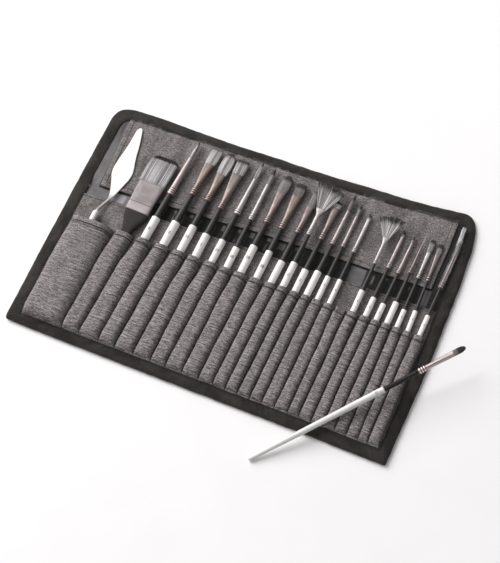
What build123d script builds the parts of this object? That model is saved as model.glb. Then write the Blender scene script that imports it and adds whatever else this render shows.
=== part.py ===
from build123d import *
from math import cos, radians, sin, tan
import os

# Soft roll case for long-handled artist's brushes, laid open on a table, with its tools.
# Millimetres. +X runs along the long side, +Y from the pocket bottoms to the brush tips,
# +Z up. The origin is on the resting plane under the middle of the open case.

os.makedirs("parts", exist_ok=True)

# ------------------------------------------------------------------ driving dimensions
TAPE = 0.85            # thickness of the folded edge tape
EDGE_TOP = 6.20        # top of the bound edge
COVER_Z0, COVER_T = 0.95, 0.95      # outer canvas
PAD_Z0, PAD_T = 1.95, 2.60          # foam sheet sealed between cover and lining
LINING_Z0, LINING_T = 4.60, 0.60    # smooth inner lining
SHEET_Z0, SHEET_T = 5.40, 0.80      # flap and pocket backing, lying on the lining
CLOTH = 0.80           # thickness of the pocket cloth
SEW_Z = 6.30           # underside of the pocket cloth along its seams
TOOL_Z0 = 6.50         # lowest level that a tool reaches inside its sleeve
POCKET_MOUTH_Y = -8.0  # open ends of the sleeves
POCKET_FULL_Y = -157.0 # the sleeves stay round down to here
POCKET_END_Y = -165.2  # and are flattened into the edge tape here
BACKING_TOP_Y = 31.0   # hemmed upper edge of the pocket backing
SLEEVE_DEPTH = 146.0   # how far a brush handle reaches into its sleeve
SLEEVE_EASE = 0.50     # play between a handle and the inside of its sleeve

STRAP_WIDTH, STRAP_X0, STRAP_X1 = 38.0, -258.0, 12.0   # closing strap, folded under the case
HOOK_X1 = 62.0                                         # hook patch at the strap's free end
LOOP_X0, LOOP_X1 = 96.0, 176.0                         # loop patch on the outer canvas

# Outline of the open case. Cloth edges are never quite straight.
OUTLINE = [
    (-278.0, -176.0), (-276.0, -181.0), (-240.0, -181.6), (-120.0, -182.4), (60.0, -182.6),
    (200.0, -182.8), (281.4, -183.6), (283.4, -134.8), (285.4, -84.9), (286.8, -35.0),
    (286.9, 74.8), (284.4, 129.6), (282.4, 146.0), (279.4, 160.0), (274.4, 172.0),
    (268.4, 178.0), (259.4, 180.6), (249.4, 179.6), (209.5, 176.4), (169.6, 174.8),
    (119.7, 175.2), (69.8, 174.0), (39.9, 173.9), (-10.0, 175.4), (-79.9, 175.8),
    (-129.7, 177.5), (-169.7, 179.5), (-209.7, 181.4), (-249.5, 181.5), (-259.5, 179.8),
    (-269.0, 175.6), (-274.0, 170.0), (-277.4, 160.0), (-278.4, 60.0), (-278.6, -60.0),
]
# Window left open by the upper face of the edge tape.
WINDOW = [
    (-258.5, -166.2), (60.0, -166.3), (266.9, -166.2), (268.8, -100.0), (269.8, -35.0),
    (269.8, 74.0), (267.8, 148.0), (263.0, 157.6), (254.0, 161.2), (228.0, 160.4),
    (170.0, 158.2), (70.0, 157.8), (-9.0, 159.6), (-80.0, 160.6), (-178.0, 162.8),
    (-248.0, 162.6), (-255.6, 157.4), (-258.6, 148.0),
]
# Flap that hangs from the head end under the brush heads.
FLAP = [
    (-249.0, 200.0), (-240.9, 50.6), (-232.0, 50.4), (-130.0, 53.0), (-9.0, 56.4),
    (100.0, 58.2), (253.9, 58.4), (255.9, 200.0),
]
# Seams between the sleeves, at the pocket end and at the sleeve mouths (x values).
SEAMS_END = [
    -257.6, -194.0, -167.1, -136.8, -111.9, -84.0, -57.6, -35.2, -10.3, 13.5, 34.4, 52.9,
    70.3, 87.7, 104.6, 123.0, 141.4, 156.4, 173.8, 189.7, 206.1, 222.1, 237.5, 250.6, 265.9,
]
SEAMS_MOUTH = [
    -257.6, -189.0, -158.2, -127.3, -101.4, -75.5, -51.7, -27.3, -4.9, 20.5, 41.4, 60.3,
    78.2, 94.7, 111.1, 128.5, 144.9, 161.4, 178.3, 194.7, 209.6, 224.6, 239.5, 253.4, 268.9,
]
EMPTY_SLEEVE = 17      # counted from the left, the one sleeve with no tool in it
EMPTY_HEIGHT = 10.6
WIDE_HEIGHT = 16.0     # outer height of the wide first sleeve above its seams
CRIMP_RIDGE = 0.35     # height of a rolled ring on a ferrule

# Brushes, left to right: sleeve, kind, x of the axis at the sleeve mouth, lean from +Y towards
# +X in degrees, barrel radius, then the y of barrel end, ferrule start, last crimp, ferrule
# mouth and tip, then neck radius, half width of the ferrule mouth and half width of the hair.
BRUSHES = [
    (3, "round", -140.4, 3.55, 6.17, 27.4, 66.9, 76.8, 130.3, 159.4, 4.30, 3.80, 4.75),
    (4, "flat", -111.1, 3.77, 6.30, 30.3, 76.8, 87.7, 129.2, 156.4, 3.80, 7.30, 8.75),
    (5, "filbert", -84.9, 2.48, 5.80, 33.1, 75.0, 83.9, 119.5, 157.6, 4.30, 7.55, 9.25),
    (6, "flat", -61.3, 1.63, 5.80, 27.7, 70.1, 76.0, 127.5, 151.7, 3.55, 8.60, 9.25),
    (7, "round", -37.2, 2.43, 5.05, 27.7, 70.4, 77.3, 129.8, 158.8, 3.80, 2.50, 3.25),
    (8, "round", -14.1, 1.47, 4.92, 23.8, 68.9, 77.4, 127.9, 155.1, 3.05, 2.75, 3.45),
    (9, "filbert", 7.3, 2.26, 5.55, 34.3, 72.1, 81.0, 121.6, 151.3, 3.80, 6.55, 7.75),
    (10, "flat", 30.6, 1.90, 5.05, 34.1, 70.4, 80.3, 124.8, 145.1, 3.80, 7.30, 7.50),
    (11, "angular", 51.7, 3.24, 5.05, 26.2, 72.3, 79.3, 114.9, 140.2, 3.05, 5.55, 5.25),
    (12, "fan", 69.6, 2.40, 4.92, 29.3, 73.4, 81.3, 115.4, 153.4, 2.80, 7.05, 21.25),
    (13, "angular", 87.0, 2.45, 4.92, 25.8, 73.9, 84.3, 124.9, 139.2, 3.05, 6.05, 5.75),
    (14, "round", 103.7, 2.71, 4.92, 29.3, 72.9, 78.3, 126.9, 154.1, 2.55, 2.30, 3.00),
    (15, "round", 119.2, 1.91, 3.80, 27.5, 74.4, 78.8, 124.4, 143.7, 2.15, 2.05, 2.50),
    (16, "angular", 136.0, 1.97, 3.55, 28.7, 72.0, 79.9, 125.5, 133.9, 2.15, 2.40, 2.75),
    (18, "fan", 169.8, 1.76, 3.92, 23.5, 64.4, 68.9, 105.5, 136.6, 2.00, 4.80, 18.25),
    (19, "angular", 187.2, 2.45, 3.92, 20.0, 65.9, 73.8, 115.4, 126.8, 2.10, 2.00, 2.30),
    (20, "round", 202.3, 2.49, 3.80, 16.1, 63.0, 69.9, 111.5, 121.9, 2.05, 1.60, 1.85),
    (21, "liner", 217.1, 1.97, 4.17, 23.8, 68.7, 76.7, 115.3, 135.6, 1.85, 1.00, 0.95),
    (22, "flat", 230.9, 1.07, 3.42, 17.8, 65.6, 71.0, 105.7, 126.0, 1.80, 2.80, 3.75),
    (23, "flat", 245.7, -0.27, 3.17, 21.5, 65.7, 73.1, 107.8, 123.2, 1.80, 3.30, 3.75),
    (24, "detail", 261.9, 2.08, 3.30, 20.9, 63.2, 70.1, 110.8, 136.0, 1.80, 1.60, 1.80),
]
TILT = 0.35            # brushes rise this many degrees from tail to tip
FAN_TILT = 1.40        # fan brushes ride higher, so that their hair lies over its neighbours
FAN_LIFT = {12: 2.4, 18: 2.0}
FAN_RISE = 12.0        # the fan's hair is pushed up by this many degrees
FAN_THICK = 2.2
TAIL_RADIUS = 2.3
JOIN_GAP = 0.05        # hair and handle meet the ferrule with this much between them

# Loose brush: it leans from the table up across the corner of the case.
LOOSE_TAIL = (118.5, -239.0, 2.70)
LOOSE_YAW, LOOSE_TILT = 42.8, 7.90
LOOSE = (4.30, 193.5, 241.5, 252.0, 291.0, 307.5, 2.70, 3.50, 3.75)
LOOSE_TAIL_RADIUS, LOOSE_BELLY = 2.70, 0.62   # it is stouter towards its tail

# Flat wash brush in the second sleeve.
WASH_X, WASH_YAW, WASH_Z = -170.2, 2.70, 12.05
WASH_FERRULE_Y0, WASH_FERRULE_Y1, WASH_TIP_Y = 26.0, 73.0, 120.0

# Palette knife in the wide first sleeve.
KNIFE_X, KNIFE_Z = -224.7, 13.60
KNIFE_BLADE_Z, KNIFE_BLADE_T = 8.4, 1.60   # the blade lies just above the flap
KNIFE_BLADE = [
    (-224.9, 153.2), (-227.5, 151.2), (-229.1, 147.0), (-229.8, 129.2), (-231.6, 109.4),
    (-233.6, 94.6), (-234.5, 81.7), (-233.6, 74.7), (-228.6, 61.9), (-223.9, 50.0),
    (-220.9, 40.1), (-219.6, 33.0), (-215.8, 33.0), (-213.6, 38.1), (-210.6, 48.0),
    (-207.6, 57.9), (-203.8, 71.8), (-203.3, 77.7), (-204.8, 87.6), (-207.8, 97.5),
    (-210.8, 109.4), (-213.8, 124.3), (-216.9, 136.2), (-220.0, 147.2), (-222.0, 152.0),
]
# Cranked shank from the handle down to the blade: y, x, z, width, thickness.
KNIFE_SHANK = [
    (4.0, -224.7, 13.6, 4.6, 4.6), (12.0, -224.2, 13.0, 4.4, 3.8), (22.0, -221.4, 10.9, 4.2, 3.0),
    (32.0, -218.2, 9.5, 4.4, 2.2), (40.0, -217.2, 9.2, 6.4, 1.58),
]

GUARD_RADIUS, GUARD_WALL, GUARD_Y0, GUARD_Y1 = 4.0, 0.45, 62.0, 156.0  # clear head guard


# ------------------------------------------------------------------ frames along a tool
class Along:
    """Directions and planes of a tool whose axis passes through a point with a lean and a rise."""

    def __init__(self, point, yaw, tilt):
        self.origin = Vector(*point)
        self.run = Vector(
            sin(radians(yaw)) * cos(radians(tilt)),
            cos(radians(yaw)) * cos(radians(tilt)),
            sin(radians(tilt)),
        )
        self.side = Vector(cos(radians(yaw)), -sin(radians(yaw)), 0)
        self.up = self.side.cross(self.run)
        self.axis = Axis(self.origin, self.run)
        # lengthwise plane: local x across the tool, local y along it
        self.lengthwise = Plane(origin=self.origin, x_dir=self.side, z_dir=self.up)

    def at(self, s):
        return self.origin + self.run * s

    def across(self, s):
        """Plane square to the axis, s along it."""
        return Plane(origin=self.at(s), x_dir=self.side, z_dir=self.run)


def along_y(y):
    """Distance along a tool's axis from the sleeve mouth, for a y in the case's frame."""
    return y - POCKET_MOUTH_Y


def mouth_height(number, kind, radius):
    return TOOL_Z0 + radius + FAN_LIFT.get(number, 0.3)


def sleeve_tool(number):
    """Axis x, axis z and radius of what lies in a sleeve, at its mouth and at its end."""
    if number == EMPTY_SLEEVE:
        return None
    if number == 1:
        return (KNIFE_X, KNIFE_Z, 6.9), (KNIFE_X, KNIFE_Z, 6.9)
    if number == 2:
        return (WASH_X, WASH_Z, 6.2), (WASH_X - 149 * tan(radians(WASH_YAW)), WASH_Z, 4.4)
    spec = next(b for b in BRUSHES if b[0] == number)
    kind, x, lean, radius = spec[1:5]
    tilt = FAN_TILT if kind == "fan" else TILT
    z = mouth_height(number, kind, radius)
    back = POCKET_MOUTH_Y - POCKET_FULL_Y
    return (x, z, radius), (
        x - back * tan(radians(lean)),
        z - back * tan(radians(tilt)),
        TAIL_RADIUS + 0.5,
    )


def sleeve_points(left, right, peak, height, inner):
    """One sleeve's curve in the (x, z) section, from seam to seam."""
    inset = CLOTH if inner else 0.0
    left, right = left + inset + 0.5, right - inset - 0.5
    height = height - inset
    base = SEW_Z + (0.0 if inner else CLOTH)
    points = []
    for t in (0.0, 0.04, 0.13, 0.26, 0.40, 0.50, 0.60, 0.74, 0.87, 0.96, 1.0):
        x = left + (right - left) * t
        v = (x - peak) / (peak - left) if x < peak else (x - peak) / (right - peak)
        v = min(1.0, abs(v))
        rise = (SEW_Z + height - base) * (1 - v**2.8) ** 0.50
        points.append((x, base + max(rise, 0.0)))
    return points


def pocket_section(seams, tools, share):
    """Closed outline of the pocket cloth, one arch a sleeve. share scales the arches' height."""
    upper, lower = [], []
    for i in range(len(seams) - 1):
        left, right = seams[i], seams[i + 1]
        tool = tools[i]
        if tool is None:
            peak, height = (left + right) / 2, EMPTY_HEIGHT
        else:
            peak, height = tool[0], tool[1] + tool[2] + SLEEVE_EASE + CLOTH - SEW_Z
        if i == 0:
            height = WIDE_HEIGHT
            peak = (left + right) / 2
        middle, half = (left + right) / 2, (right - left) / 2
        peak = min(max(peak, middle - 0.25 * half), middle + 0.25 * half)
        height = CLOTH + 0.6 + (height - CLOTH - 0.6) * share
        upper += sleeve_points(left, right, peak, height, inner=False)
        lower += sleeve_points(left, right, peak, height, inner=True)
    return [(seams[0], SEW_Z), (seams[0], SEW_Z + CLOTH)] + upper + [
        (seams[-1], SEW_Z + CLOTH), (seams[-1], SEW_Z)] + lower[::-1]


def seams_at(y):
    span = (y - POCKET_END_Y) / (POCKET_MOUTH_Y - POCKET_END_Y)
    return [a + (b - a) * span for a, b in zip(SEAMS_END, SEAMS_MOUTH)]


# ------------------------------------------------------------------ case: layers of cloth
with BuildPart() as outer_cover:
    with BuildSketch(Plane.XY.offset(COVER_Z0)) as cover_plan:
        with BuildLine():
            Polyline(*OUTLINE, close=True)
        make_face()
        offset(amount=-(TAPE + 0.5), kind=Kind.INTERSECTION, mode=Mode.REPLACE)
    extrude(amount=COVER_T)
outer_cover.part.label = "outer_cover"
export_step(outer_cover.part, "parts/outer_cover.step")

with BuildPart() as stiffening_pad:
    with BuildSketch(Plane.XY.offset(PAD_Z0)) as pad_plan:
        with BuildLine():
            Polyline(*OUTLINE, close=True)
        make_face()
        offset(amount=-(TAPE + 1.5), kind=Kind.INTERSECTION, mode=Mode.REPLACE)
    extrude(amount=PAD_T)
stiffening_pad.part.label = "stiffening_pad"
export_step(stiffening_pad.part, "parts/stiffening_pad.step")

with BuildPart() as inner_lining:
    with BuildSketch(Plane.XY.offset(LINING_Z0)) as lining_plan:
        with BuildLine():
            Polyline(*OUTLINE, close=True)
        make_face()
        offset(amount=-(TAPE + 0.5), kind=Kind.INTERSECTION, mode=Mode.REPLACE)
    extrude(amount=LINING_T)
inner_lining.part.label = "inner_lining"
export_step(inner_lining.part, "parts/inner_lining.step")

with BuildPart() as edge_binding:
    # tape folded round the edge: a closed U section all the way round
    with BuildSketch(Plane.XY) as edge_plan:
        with BuildLine():
            Polyline(*OUTLINE, close=True)
        make_face()
        with BuildLine():
            Polyline(*WINDOW, close=True)
        make_face(mode=Mode.SUBTRACT)
    extrude(amount=EDGE_TOP)
    with BuildSketch(Plane.XY.offset(TAPE)) as edge_fold:
        with BuildLine():
            Polyline(*OUTLINE, close=True)
        make_face()
        offset(amount=-TAPE, kind=Kind.INTERSECTION, mode=Mode.REPLACE)
    extrude(amount=EDGE_TOP - 2 * TAPE, mode=Mode.SUBTRACT)
edge_binding.part.label = "edge_binding"
export_step(edge_binding.part, "parts/edge_binding.step")

with BuildPart() as bristle_flap:
    with BuildSketch(Plane.XY.offset(SHEET_Z0)) as flap_plan:
        with BuildLine():
            Polyline(*WINDOW, close=True)
        make_face()
        offset(amount=-0.4, kind=Kind.INTERSECTION, mode=Mode.REPLACE)
        with BuildLine():
            Polyline(*FLAP, close=True)
        make_face(mode=Mode.INTERSECT)
    extrude(amount=SHEET_T)
bristle_flap.part.label = "bristle_flap"
export_step(bristle_flap.part, "parts/bristle_flap.step")

with BuildPart() as pocket_backing:
    with BuildSketch(Plane.XY.offset(SHEET_Z0)) as backing_plan:
        with BuildLine():
            Polyline(*WINDOW, close=True)
        make_face()
        offset(amount=-0.4, kind=Kind.INTERSECTION, mode=Mode.REPLACE)
        with BuildLine():
            Polyline(
                (-290, -200), (290, -200), (290, BACKING_TOP_Y), (-290, BACKING_TOP_Y),
                close=True,
            )
        make_face(mode=Mode.INTERSECT)
    extrude(amount=SHEET_T)
pocket_backing.part.label = "pocket_backing"
export_step(pocket_backing.part, "parts/pocket_backing.step")

sleeves = range(1, len(SEAMS_END))
mouth_tools = [t and t[0] for t in map(sleeve_tool, sleeves)]
end_tools = [t and t[1] for t in map(sleeve_tool, sleeves)]
with BuildPart() as pocket_front:
    # one cloth sewn down along every seam, arched over each tool, flattened at its lower end
    for y, tools, share in (
        (POCKET_MOUTH_Y, mouth_tools, 1.0),
        (POCKET_FULL_Y, end_tools, 1.0),
        (POCKET_END_Y, end_tools, 0.30),
    ):
        # plane with local x along +X and local y along +Z
        with BuildSketch(Plane(origin=(0, y, 0), x_dir=(1, 0, 0), z_dir=(0, -1, 0))):
            with BuildLine():
                Polyline(*pocket_section(seams_at(y), tools, share), close=True)
            make_face()
    loft(ruled=True)
pocket_front.part.label = "pocket_front"
export_step(pocket_front.part, "parts/pocket_front.step")

with BuildPart() as closing_strap:
    with BuildSketch(Plane.XY):
        with BuildLine():
            Polyline(
                (STRAP_X0, -STRAP_WIDTH / 2), (STRAP_X1, -STRAP_WIDTH / 2),
                (STRAP_X1, STRAP_WIDTH / 2), (STRAP_X0, STRAP_WIDTH / 2), close=True,
            )
        make_face()
    extrude(amount=TAPE)
closing_strap.part.label = "closing_strap"
export_step(closing_strap.part, "parts/closing_strap.step")

with BuildPart() as strap_hook_patch:
    with BuildSketch(Plane.XY):
        with BuildLine():
            Polyline(
                (STRAP_X1 + 0.05, -STRAP_WIDTH / 2), (HOOK_X1, -STRAP_WIDTH / 2),
                (HOOK_X1, STRAP_WIDTH / 2), (STRAP_X1 + 0.05, STRAP_WIDTH / 2), close=True,
            )
        make_face()
    extrude(amount=TAPE)
    fillet(strap_hook_patch.edges().filter_by(Axis.Z).group_by(Axis.X)[-1], radius=6)
strap_hook_patch.part.label = "strap_hook_patch"
export_step(strap_hook_patch.part, "parts/strap_hook_patch.step")

with BuildPart() as strap_loop_patch:
    with BuildSketch(Plane.XY):
        with BuildLine():
            Polyline(
                (LOOP_X0, -STRAP_WIDTH / 2), (LOOP_X1, -STRAP_WIDTH / 2),
                (LOOP_X1, STRAP_WIDTH / 2), (LOOP_X0, STRAP_WIDTH / 2), close=True,
            )
        make_face()
    extrude(amount=TAPE)
    fillet(strap_loop_patch.edges().filter_by(Axis.Z), radius=4)
strap_loop_patch.part.label = "strap_loop_patch"
export_step(strap_loop_patch.part, "parts/strap_loop_patch.step")


# ------------------------------------------------------------------ tools in the first sleeves
# One-piece moulded palette knife: thin blade, cranked shank, round handle.
knife = Along((KNIFE_X, POCKET_MOUTH_Y, KNIFE_Z), 0.0, 0.0)
with BuildPart() as palette_knife:
    with BuildSketch(knife.lengthwise) as knife_grip:
        with BuildLine():
            Polyline(
                (0, -140), (3.4, -140), (5.6, -136), (6.3, -110), (6.6, -60), (5.6, -24),
                (4.4, -4), (4.4, 13.5), (3.0, 16.0), (0, 16.0), close=True,
            )
        make_face()
    revolve(axis=knife.axis)
    with BuildSketch(Plane.XY.offset(KNIFE_BLADE_Z)) as knife_blade:
        with BuildLine():
            Polyline(*KNIFE_BLADE, close=True)
        make_face()
    extrude(amount=KNIFE_BLADE_T)
    for y, x, z, width, thick in KNIFE_SHANK:
        # plane with local x along +X and local y along +Z
        with BuildSketch(Plane(origin=(x, y, z), x_dir=(1, 0, 0), z_dir=(0, -1, 0))):
            RectangleRounded(width, thick, 0.7)
    loft(ruled=True)
palette_knife.part.label = "palette_knife"
export_step(palette_knife.part, "parts/palette_knife.step")

wash = Along((WASH_X, POCKET_MOUTH_Y, WASH_Z), WASH_YAW, 0.0)
with BuildPart() as wash_brush_handle:
    for s, width, thick in (
        (-141.0, 7.0, 6.0), (-137.0, 10.0, 7.4), (-70.0, 11.5, 8.6), (-20.0, 13.0, 9.2),
        (2.0, 15.4, 9.4), (16.0, 25.0, 9.6), (27.0, 34.0, 9.8), (33.95, 36.4, 9.8),
    ):
        with BuildSketch(wash.across(s)):
            RectangleRounded(width, thick, 2.6)
    loft(ruled=True)
wash_brush_handle.part.label = "wash_brush_handle"
export_step(wash_brush_handle.part, "parts/wash_brush_handle.step")

with BuildPart() as wash_brush_head:
    for s, width, thick in (
        (34.0, 37.2, 10.8), (47.0, 38.0, 10.8), (along_y(WASH_FERRULE_Y1), 40.6, 10.4),
    ):
        with BuildSketch(wash.across(s)):
            RectangleRounded(width, thick, 2.2)
    loft(ruled=True)
    for s, width, thick in (
        (along_y(WASH_FERRULE_Y1) + JOIN_GAP, 40.2, 10.0), (105.0, 42.2, 10.0),
        (120.0, 42.0, 7.0), (along_y(WASH_TIP_Y), 35.0, 4.6),
    ):
        with BuildSketch(wash.across(s)):
            RectangleRounded(width, thick, 1.9)
    loft(ruled=True)
wash_brush_head.part.label = "wash_brush_head"
export_step(wash_brush_head.part, "parts/wash_brush_head.step")


# ------------------------------------------------------------------ the long-handled brushes
def handle_outline(tail, barrel_end, ferrule, radius, neck, tail_radius, belly):
    """Half section of a turned handle: thin tail, belly, stepped neck."""
    length = barrel_end - tail
    return (
        [(0, tail), (tail_radius * 0.55, tail), (tail_radius * 0.92, tail + 1.0),
         (tail_radius, tail + 3.0)],
        [(tail_radius, tail + 3.0), (tail_radius + (radius - tail_radius) * belly,
                                     tail + length * 0.38),
         (radius * 0.95 if belly > 0.5 else radius * 0.93, tail + length * 0.70),
         (radius, tail + length * 0.90)],
        [(radius, tail + length * 0.90), (radius, barrel_end - 0.5),
         (radius - 0.45, barrel_end), (radius * 0.82, barrel_end),
         (max(radius * 0.80, neck + 0.1), barrel_end + 0.5), (neck, ferrule - JOIN_GAP),
         (0, ferrule - JOIN_GAP), (0, tail)],
    )


def ferrule_outline(start, crimped, mouth, neck, mouth_radius):
    """Half section of a ferrule with three rolled rings."""
    shell = neck + 0.30
    pitch = (crimped - start - 1.0) / 3
    points = [(0, start), (shell, start)]
    for ring in range(3):
        base = start + 0.8 + ring * pitch
        points += [(shell, base), (shell + CRIMP_RIDGE, base + pitch * 0.30),
                   (shell + CRIMP_RIDGE, base + pitch * 0.60), (shell, base + pitch * 0.90)]
    points += [(shell, crimped), (mouth_radius, mouth), (0, mouth)]
    return points


def hair_sections(kind, mouth, tip, mouth_half, half):
    """(s, half width, half thickness) along a tuft."""
    length = tip - mouth - JOIN_GAP
    start = mouth + JOIN_GAP
    thick = max(1.3, min(2.6, mouth_half * 0.42))
    if kind in ("flat", "angular"):
        shares = ((0, 0, 1.0), (0.40, 1, 1.0), (0.80, 0.98, 0.62), (1.0, 0.86, 0.30))
    else:
        shares = ((0, 0, 1.0), (0.30, 0.95, 1.1), (0.62, 1, 0.80), (0.88, 0.66, 0.45),
                  (1.0, 0.28, 0.22))
    rows = []
    for at, wide, deep in shares:
        w = mouth_half - 0.12 if at == 0 else half * wide
        rows.append((start + length * at, w, min(thick * deep, w * 0.98)))
    return rows


def make_brush(name, frame, kind, tail, barrel_end, start, crimped, mouth, tip, radius, neck,
               mouth_half, half, tail_radius=TAIL_RADIUS, fullness=0.42):
    first, belly, last = handle_outline(tail, barrel_end, start, radius, neck, tail_radius,
                                        fullness)
    with BuildPart() as handle:
        with BuildSketch(frame.lengthwise):
            with BuildLine():
                Polyline(*first)
                Spline(*belly)
                Polyline(*last)
            make_face()
        revolve(axis=frame.axis)
    handle.part.label = f"{name}_handle"
    export_step(handle.part, f"parts/{name}_handle.step")

    with BuildPart() as head:
        if kind in ("round", "liner", "detail"):
            with BuildSketch(frame.lengthwise):
                with BuildLine():
                    Polyline(*ferrule_outline(start, crimped, mouth, neck, mouth_half),
                             close=True)
                make_face()
            revolve(axis=frame.axis)
            length = tip - mouth
            with BuildSketch(frame.lengthwise):
                with BuildLine():
                    Polyline(
                        (0, mouth + JOIN_GAP), (mouth_half - 0.12, mouth + JOIN_GAP),
                        (half * 0.97, mouth + length * 0.22), (half, mouth + length * 0.40),
                        (half * 0.80, mouth + length * 0.64), (half * 0.42, mouth + length * 0.86),
                        (0.25, tip), (0, tip), close=True,
                    )
                make_face()
            revolve(axis=frame.axis)
        else:
            shell = neck + 0.30
            with BuildSketch(frame.lengthwise):
                with BuildLine():
                    Polyline(*ferrule_outline(start, crimped, crimped + 2.0, neck, shell),
                             close=True)
                make_face()
            revolve(axis=frame.axis)
            thick = 1.8 if kind == "fan" else max(1.5, min(2.8, mouth_half * 0.46))
            flat_from = mouth - 9.0 if kind == "fan" else crimped + 6.0
            for s, a, b in (
                (crimped + 2.0, shell, shell),
                (flat_from, shell + 0.1, shell),
                ((flat_from + mouth) / 2, (shell + mouth_half) / 2, (shell + thick) / 2),
                (mouth, mouth_half, thick),
            ):
                with BuildSketch(frame.across(s)):
                    Ellipse(a, b)
            loft(ruled=True)
            if kind == "fan":
                root = frame.at(mouth + 0.5)
                rising = frame.run * cos(radians(FAN_RISE)) + frame.up * sin(radians(FAN_RISE))
                fan_up = frame.side.cross(rising)
                reach = tip - mouth
                with BuildSketch(Plane(origin=root, x_dir=frame.side, z_dir=fan_up)):
                    with BuildLine():
                        Line((-half, reach * 0.60), (-(mouth_half - 0.4), 0))
                        Line((-(mouth_half - 0.4), 0), (mouth_half - 0.4, 0))
                        Line((mouth_half - 0.4, 0), (half, reach * 0.60))
                        ThreePointArc((half, reach * 0.60), (0, reach - 0.6),
                                      (-half, reach * 0.60))
                    make_face()
                extrude(amount=FAN_THICK / 2, both=True)
            else:
                for s, a, b in hair_sections(kind, mouth, tip, mouth_half, half):
                    with BuildSketch(frame.across(s)):
                        Ellipse(a, b)
                loft(ruled=True)
    head.part.label = f"{name}_head"
    export_step(head.part, f"parts/{name}_head.step")


for (number, kind, x, lean, radius, barrel_end, start, crimped, mouth, tip, neck, mouth_half,
     half) in BRUSHES:
    frame = Along(
        (x, POCKET_MOUTH_Y, mouth_height(number, kind, radius)),
        lean,
        FAN_TILT if kind == "fan" else TILT,
    )
    make_brush(f"{kind}_brush_{number:02d}", frame, kind, -SLEEVE_DEPTH, along_y(barrel_end),
               along_y(start), along_y(crimped), along_y(mouth), along_y(tip), radius, neck,
               mouth_half, half)

loose = Along(LOOSE_TAIL, LOOSE_YAW, LOOSE_TILT)
make_brush("loose_brush", loose, "filbert", 0.0, *LOOSE[1:6], LOOSE[0], *LOOSE[6:],
           LOOSE_TAIL_RADIUS, LOOSE_BELLY)

# Clear plastic guard pushed over the head of the last brush.
last_spec = BRUSHES[-1]
guarded = Along(
    (last_spec[2], POCKET_MOUTH_Y, mouth_height(last_spec[0], last_spec[1], last_spec[4])),
    last_spec[3],
    TILT,
)
with BuildPart() as tip_guard:
    with BuildSketch(guarded.across(along_y(GUARD_Y0))):
        Circle(GUARD_RADIUS)
        Circle(GUARD_RADIUS - GUARD_WALL, mode=Mode.SUBTRACT)
    extrude(amount=GUARD_Y1 - GUARD_Y0)
tip_guard.part.label = "tip_guard"
export_step(tip_guard.part, "parts/tip_guard.step")
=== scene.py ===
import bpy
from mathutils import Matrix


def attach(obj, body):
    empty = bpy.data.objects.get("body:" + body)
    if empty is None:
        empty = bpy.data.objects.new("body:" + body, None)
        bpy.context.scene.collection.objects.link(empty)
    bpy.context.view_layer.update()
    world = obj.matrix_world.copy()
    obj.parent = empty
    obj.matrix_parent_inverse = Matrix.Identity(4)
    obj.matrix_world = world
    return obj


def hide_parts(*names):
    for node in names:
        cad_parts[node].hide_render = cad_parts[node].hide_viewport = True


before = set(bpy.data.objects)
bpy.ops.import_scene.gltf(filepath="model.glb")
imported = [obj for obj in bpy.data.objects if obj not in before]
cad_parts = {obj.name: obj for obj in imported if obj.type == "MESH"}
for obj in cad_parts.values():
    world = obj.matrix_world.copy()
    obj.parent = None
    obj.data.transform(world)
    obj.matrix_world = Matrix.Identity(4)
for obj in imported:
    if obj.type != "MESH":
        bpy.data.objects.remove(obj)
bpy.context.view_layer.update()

from math import atan2, cos, pi, radians, sin, sqrt, tan

import bpy
import numpy as np
from mathutils import Matrix, Vector

# Looks of the brush roll. Shapes are worked out in millimetres in the row frame and
# stored in metres. The numbers below repeat those of the CAD source.
MM = 0.001

# ---------------------------------------------------------------- dimensions, as in the CAD
SEW_Z, CLOTH = 6.30, 0.80
TOOL_Z0 = 6.50
MOUTH_Y, END_Y = -8.0, -165.2
SLEEVE_DEPTH = 146.0
TILT, FAN_TILT, FAN_RISE = 0.35, 1.40, 12.0
FAN_LIFT = {12: 2.4, 18: 2.0}
TAIL_RADIUS = 2.3
KNIFE_X, KNIFE_Z = -224.7, 13.60
WASH_X, WASH_YAW, WASH_Z = -170.2, 2.70, 12.05
LOOSE_TAIL, LOOSE_YAW, LOOSE_TILT = (118.5, -239.0, 2.70), 42.8, 7.90
LOOSE = (4.30, 193.5, 241.5, 252.0, 291.0, 307.5, 2.70, 3.50, 3.75)
LOOSE_TAIL_RADIUS, LOOSE_BELLY = 2.70, 0.62
WASH_TIP_Y = 120.0

OUTLINE = [
    (-278.0, -176.0), (-276.0, -181.0), (-240.0, -181.6), (-120.0, -182.4), (60.0, -182.6),
    (200.0, -182.8), (281.4, -183.6), (283.4, -134.8), (285.4, -84.9), (286.8, -35.0),
    (286.9, 74.8), (284.4, 129.6), (282.4, 146.0), (279.4, 160.0), (274.4, 172.0),
    (268.4, 178.0), (259.4, 180.6), (249.4, 179.6), (209.5, 176.4), (169.6, 174.8),
    (119.7, 175.2), (69.8, 174.0), (39.9, 173.9), (-10.0, 175.4), (-79.9, 175.8),
    (-129.7, 177.5), (-169.7, 179.5), (-209.7, 181.4), (-249.5, 181.5), (-259.5, 179.8),
    (-269.0, 175.6), (-274.0, 170.0), (-277.4, 160.0), (-278.4, 60.0), (-278.6, -60.0),
]
WINDOW = [
    (-258.5, -166.2), (60.0, -166.3), (266.9, -166.2), (268.8, -100.0), (269.8, -35.0),
    (269.8, 74.0), (267.8, 148.0), (263.0, 157.6), (254.0, 161.2), (228.0, 160.4),
    (170.0, 158.2), (70.0, 157.8), (-9.0, 159.6), (-80.0, 160.6), (-178.0, 162.8),
    (-248.0, 162.6), (-255.6, 157.4), (-258.6, 148.0),
]
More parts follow.
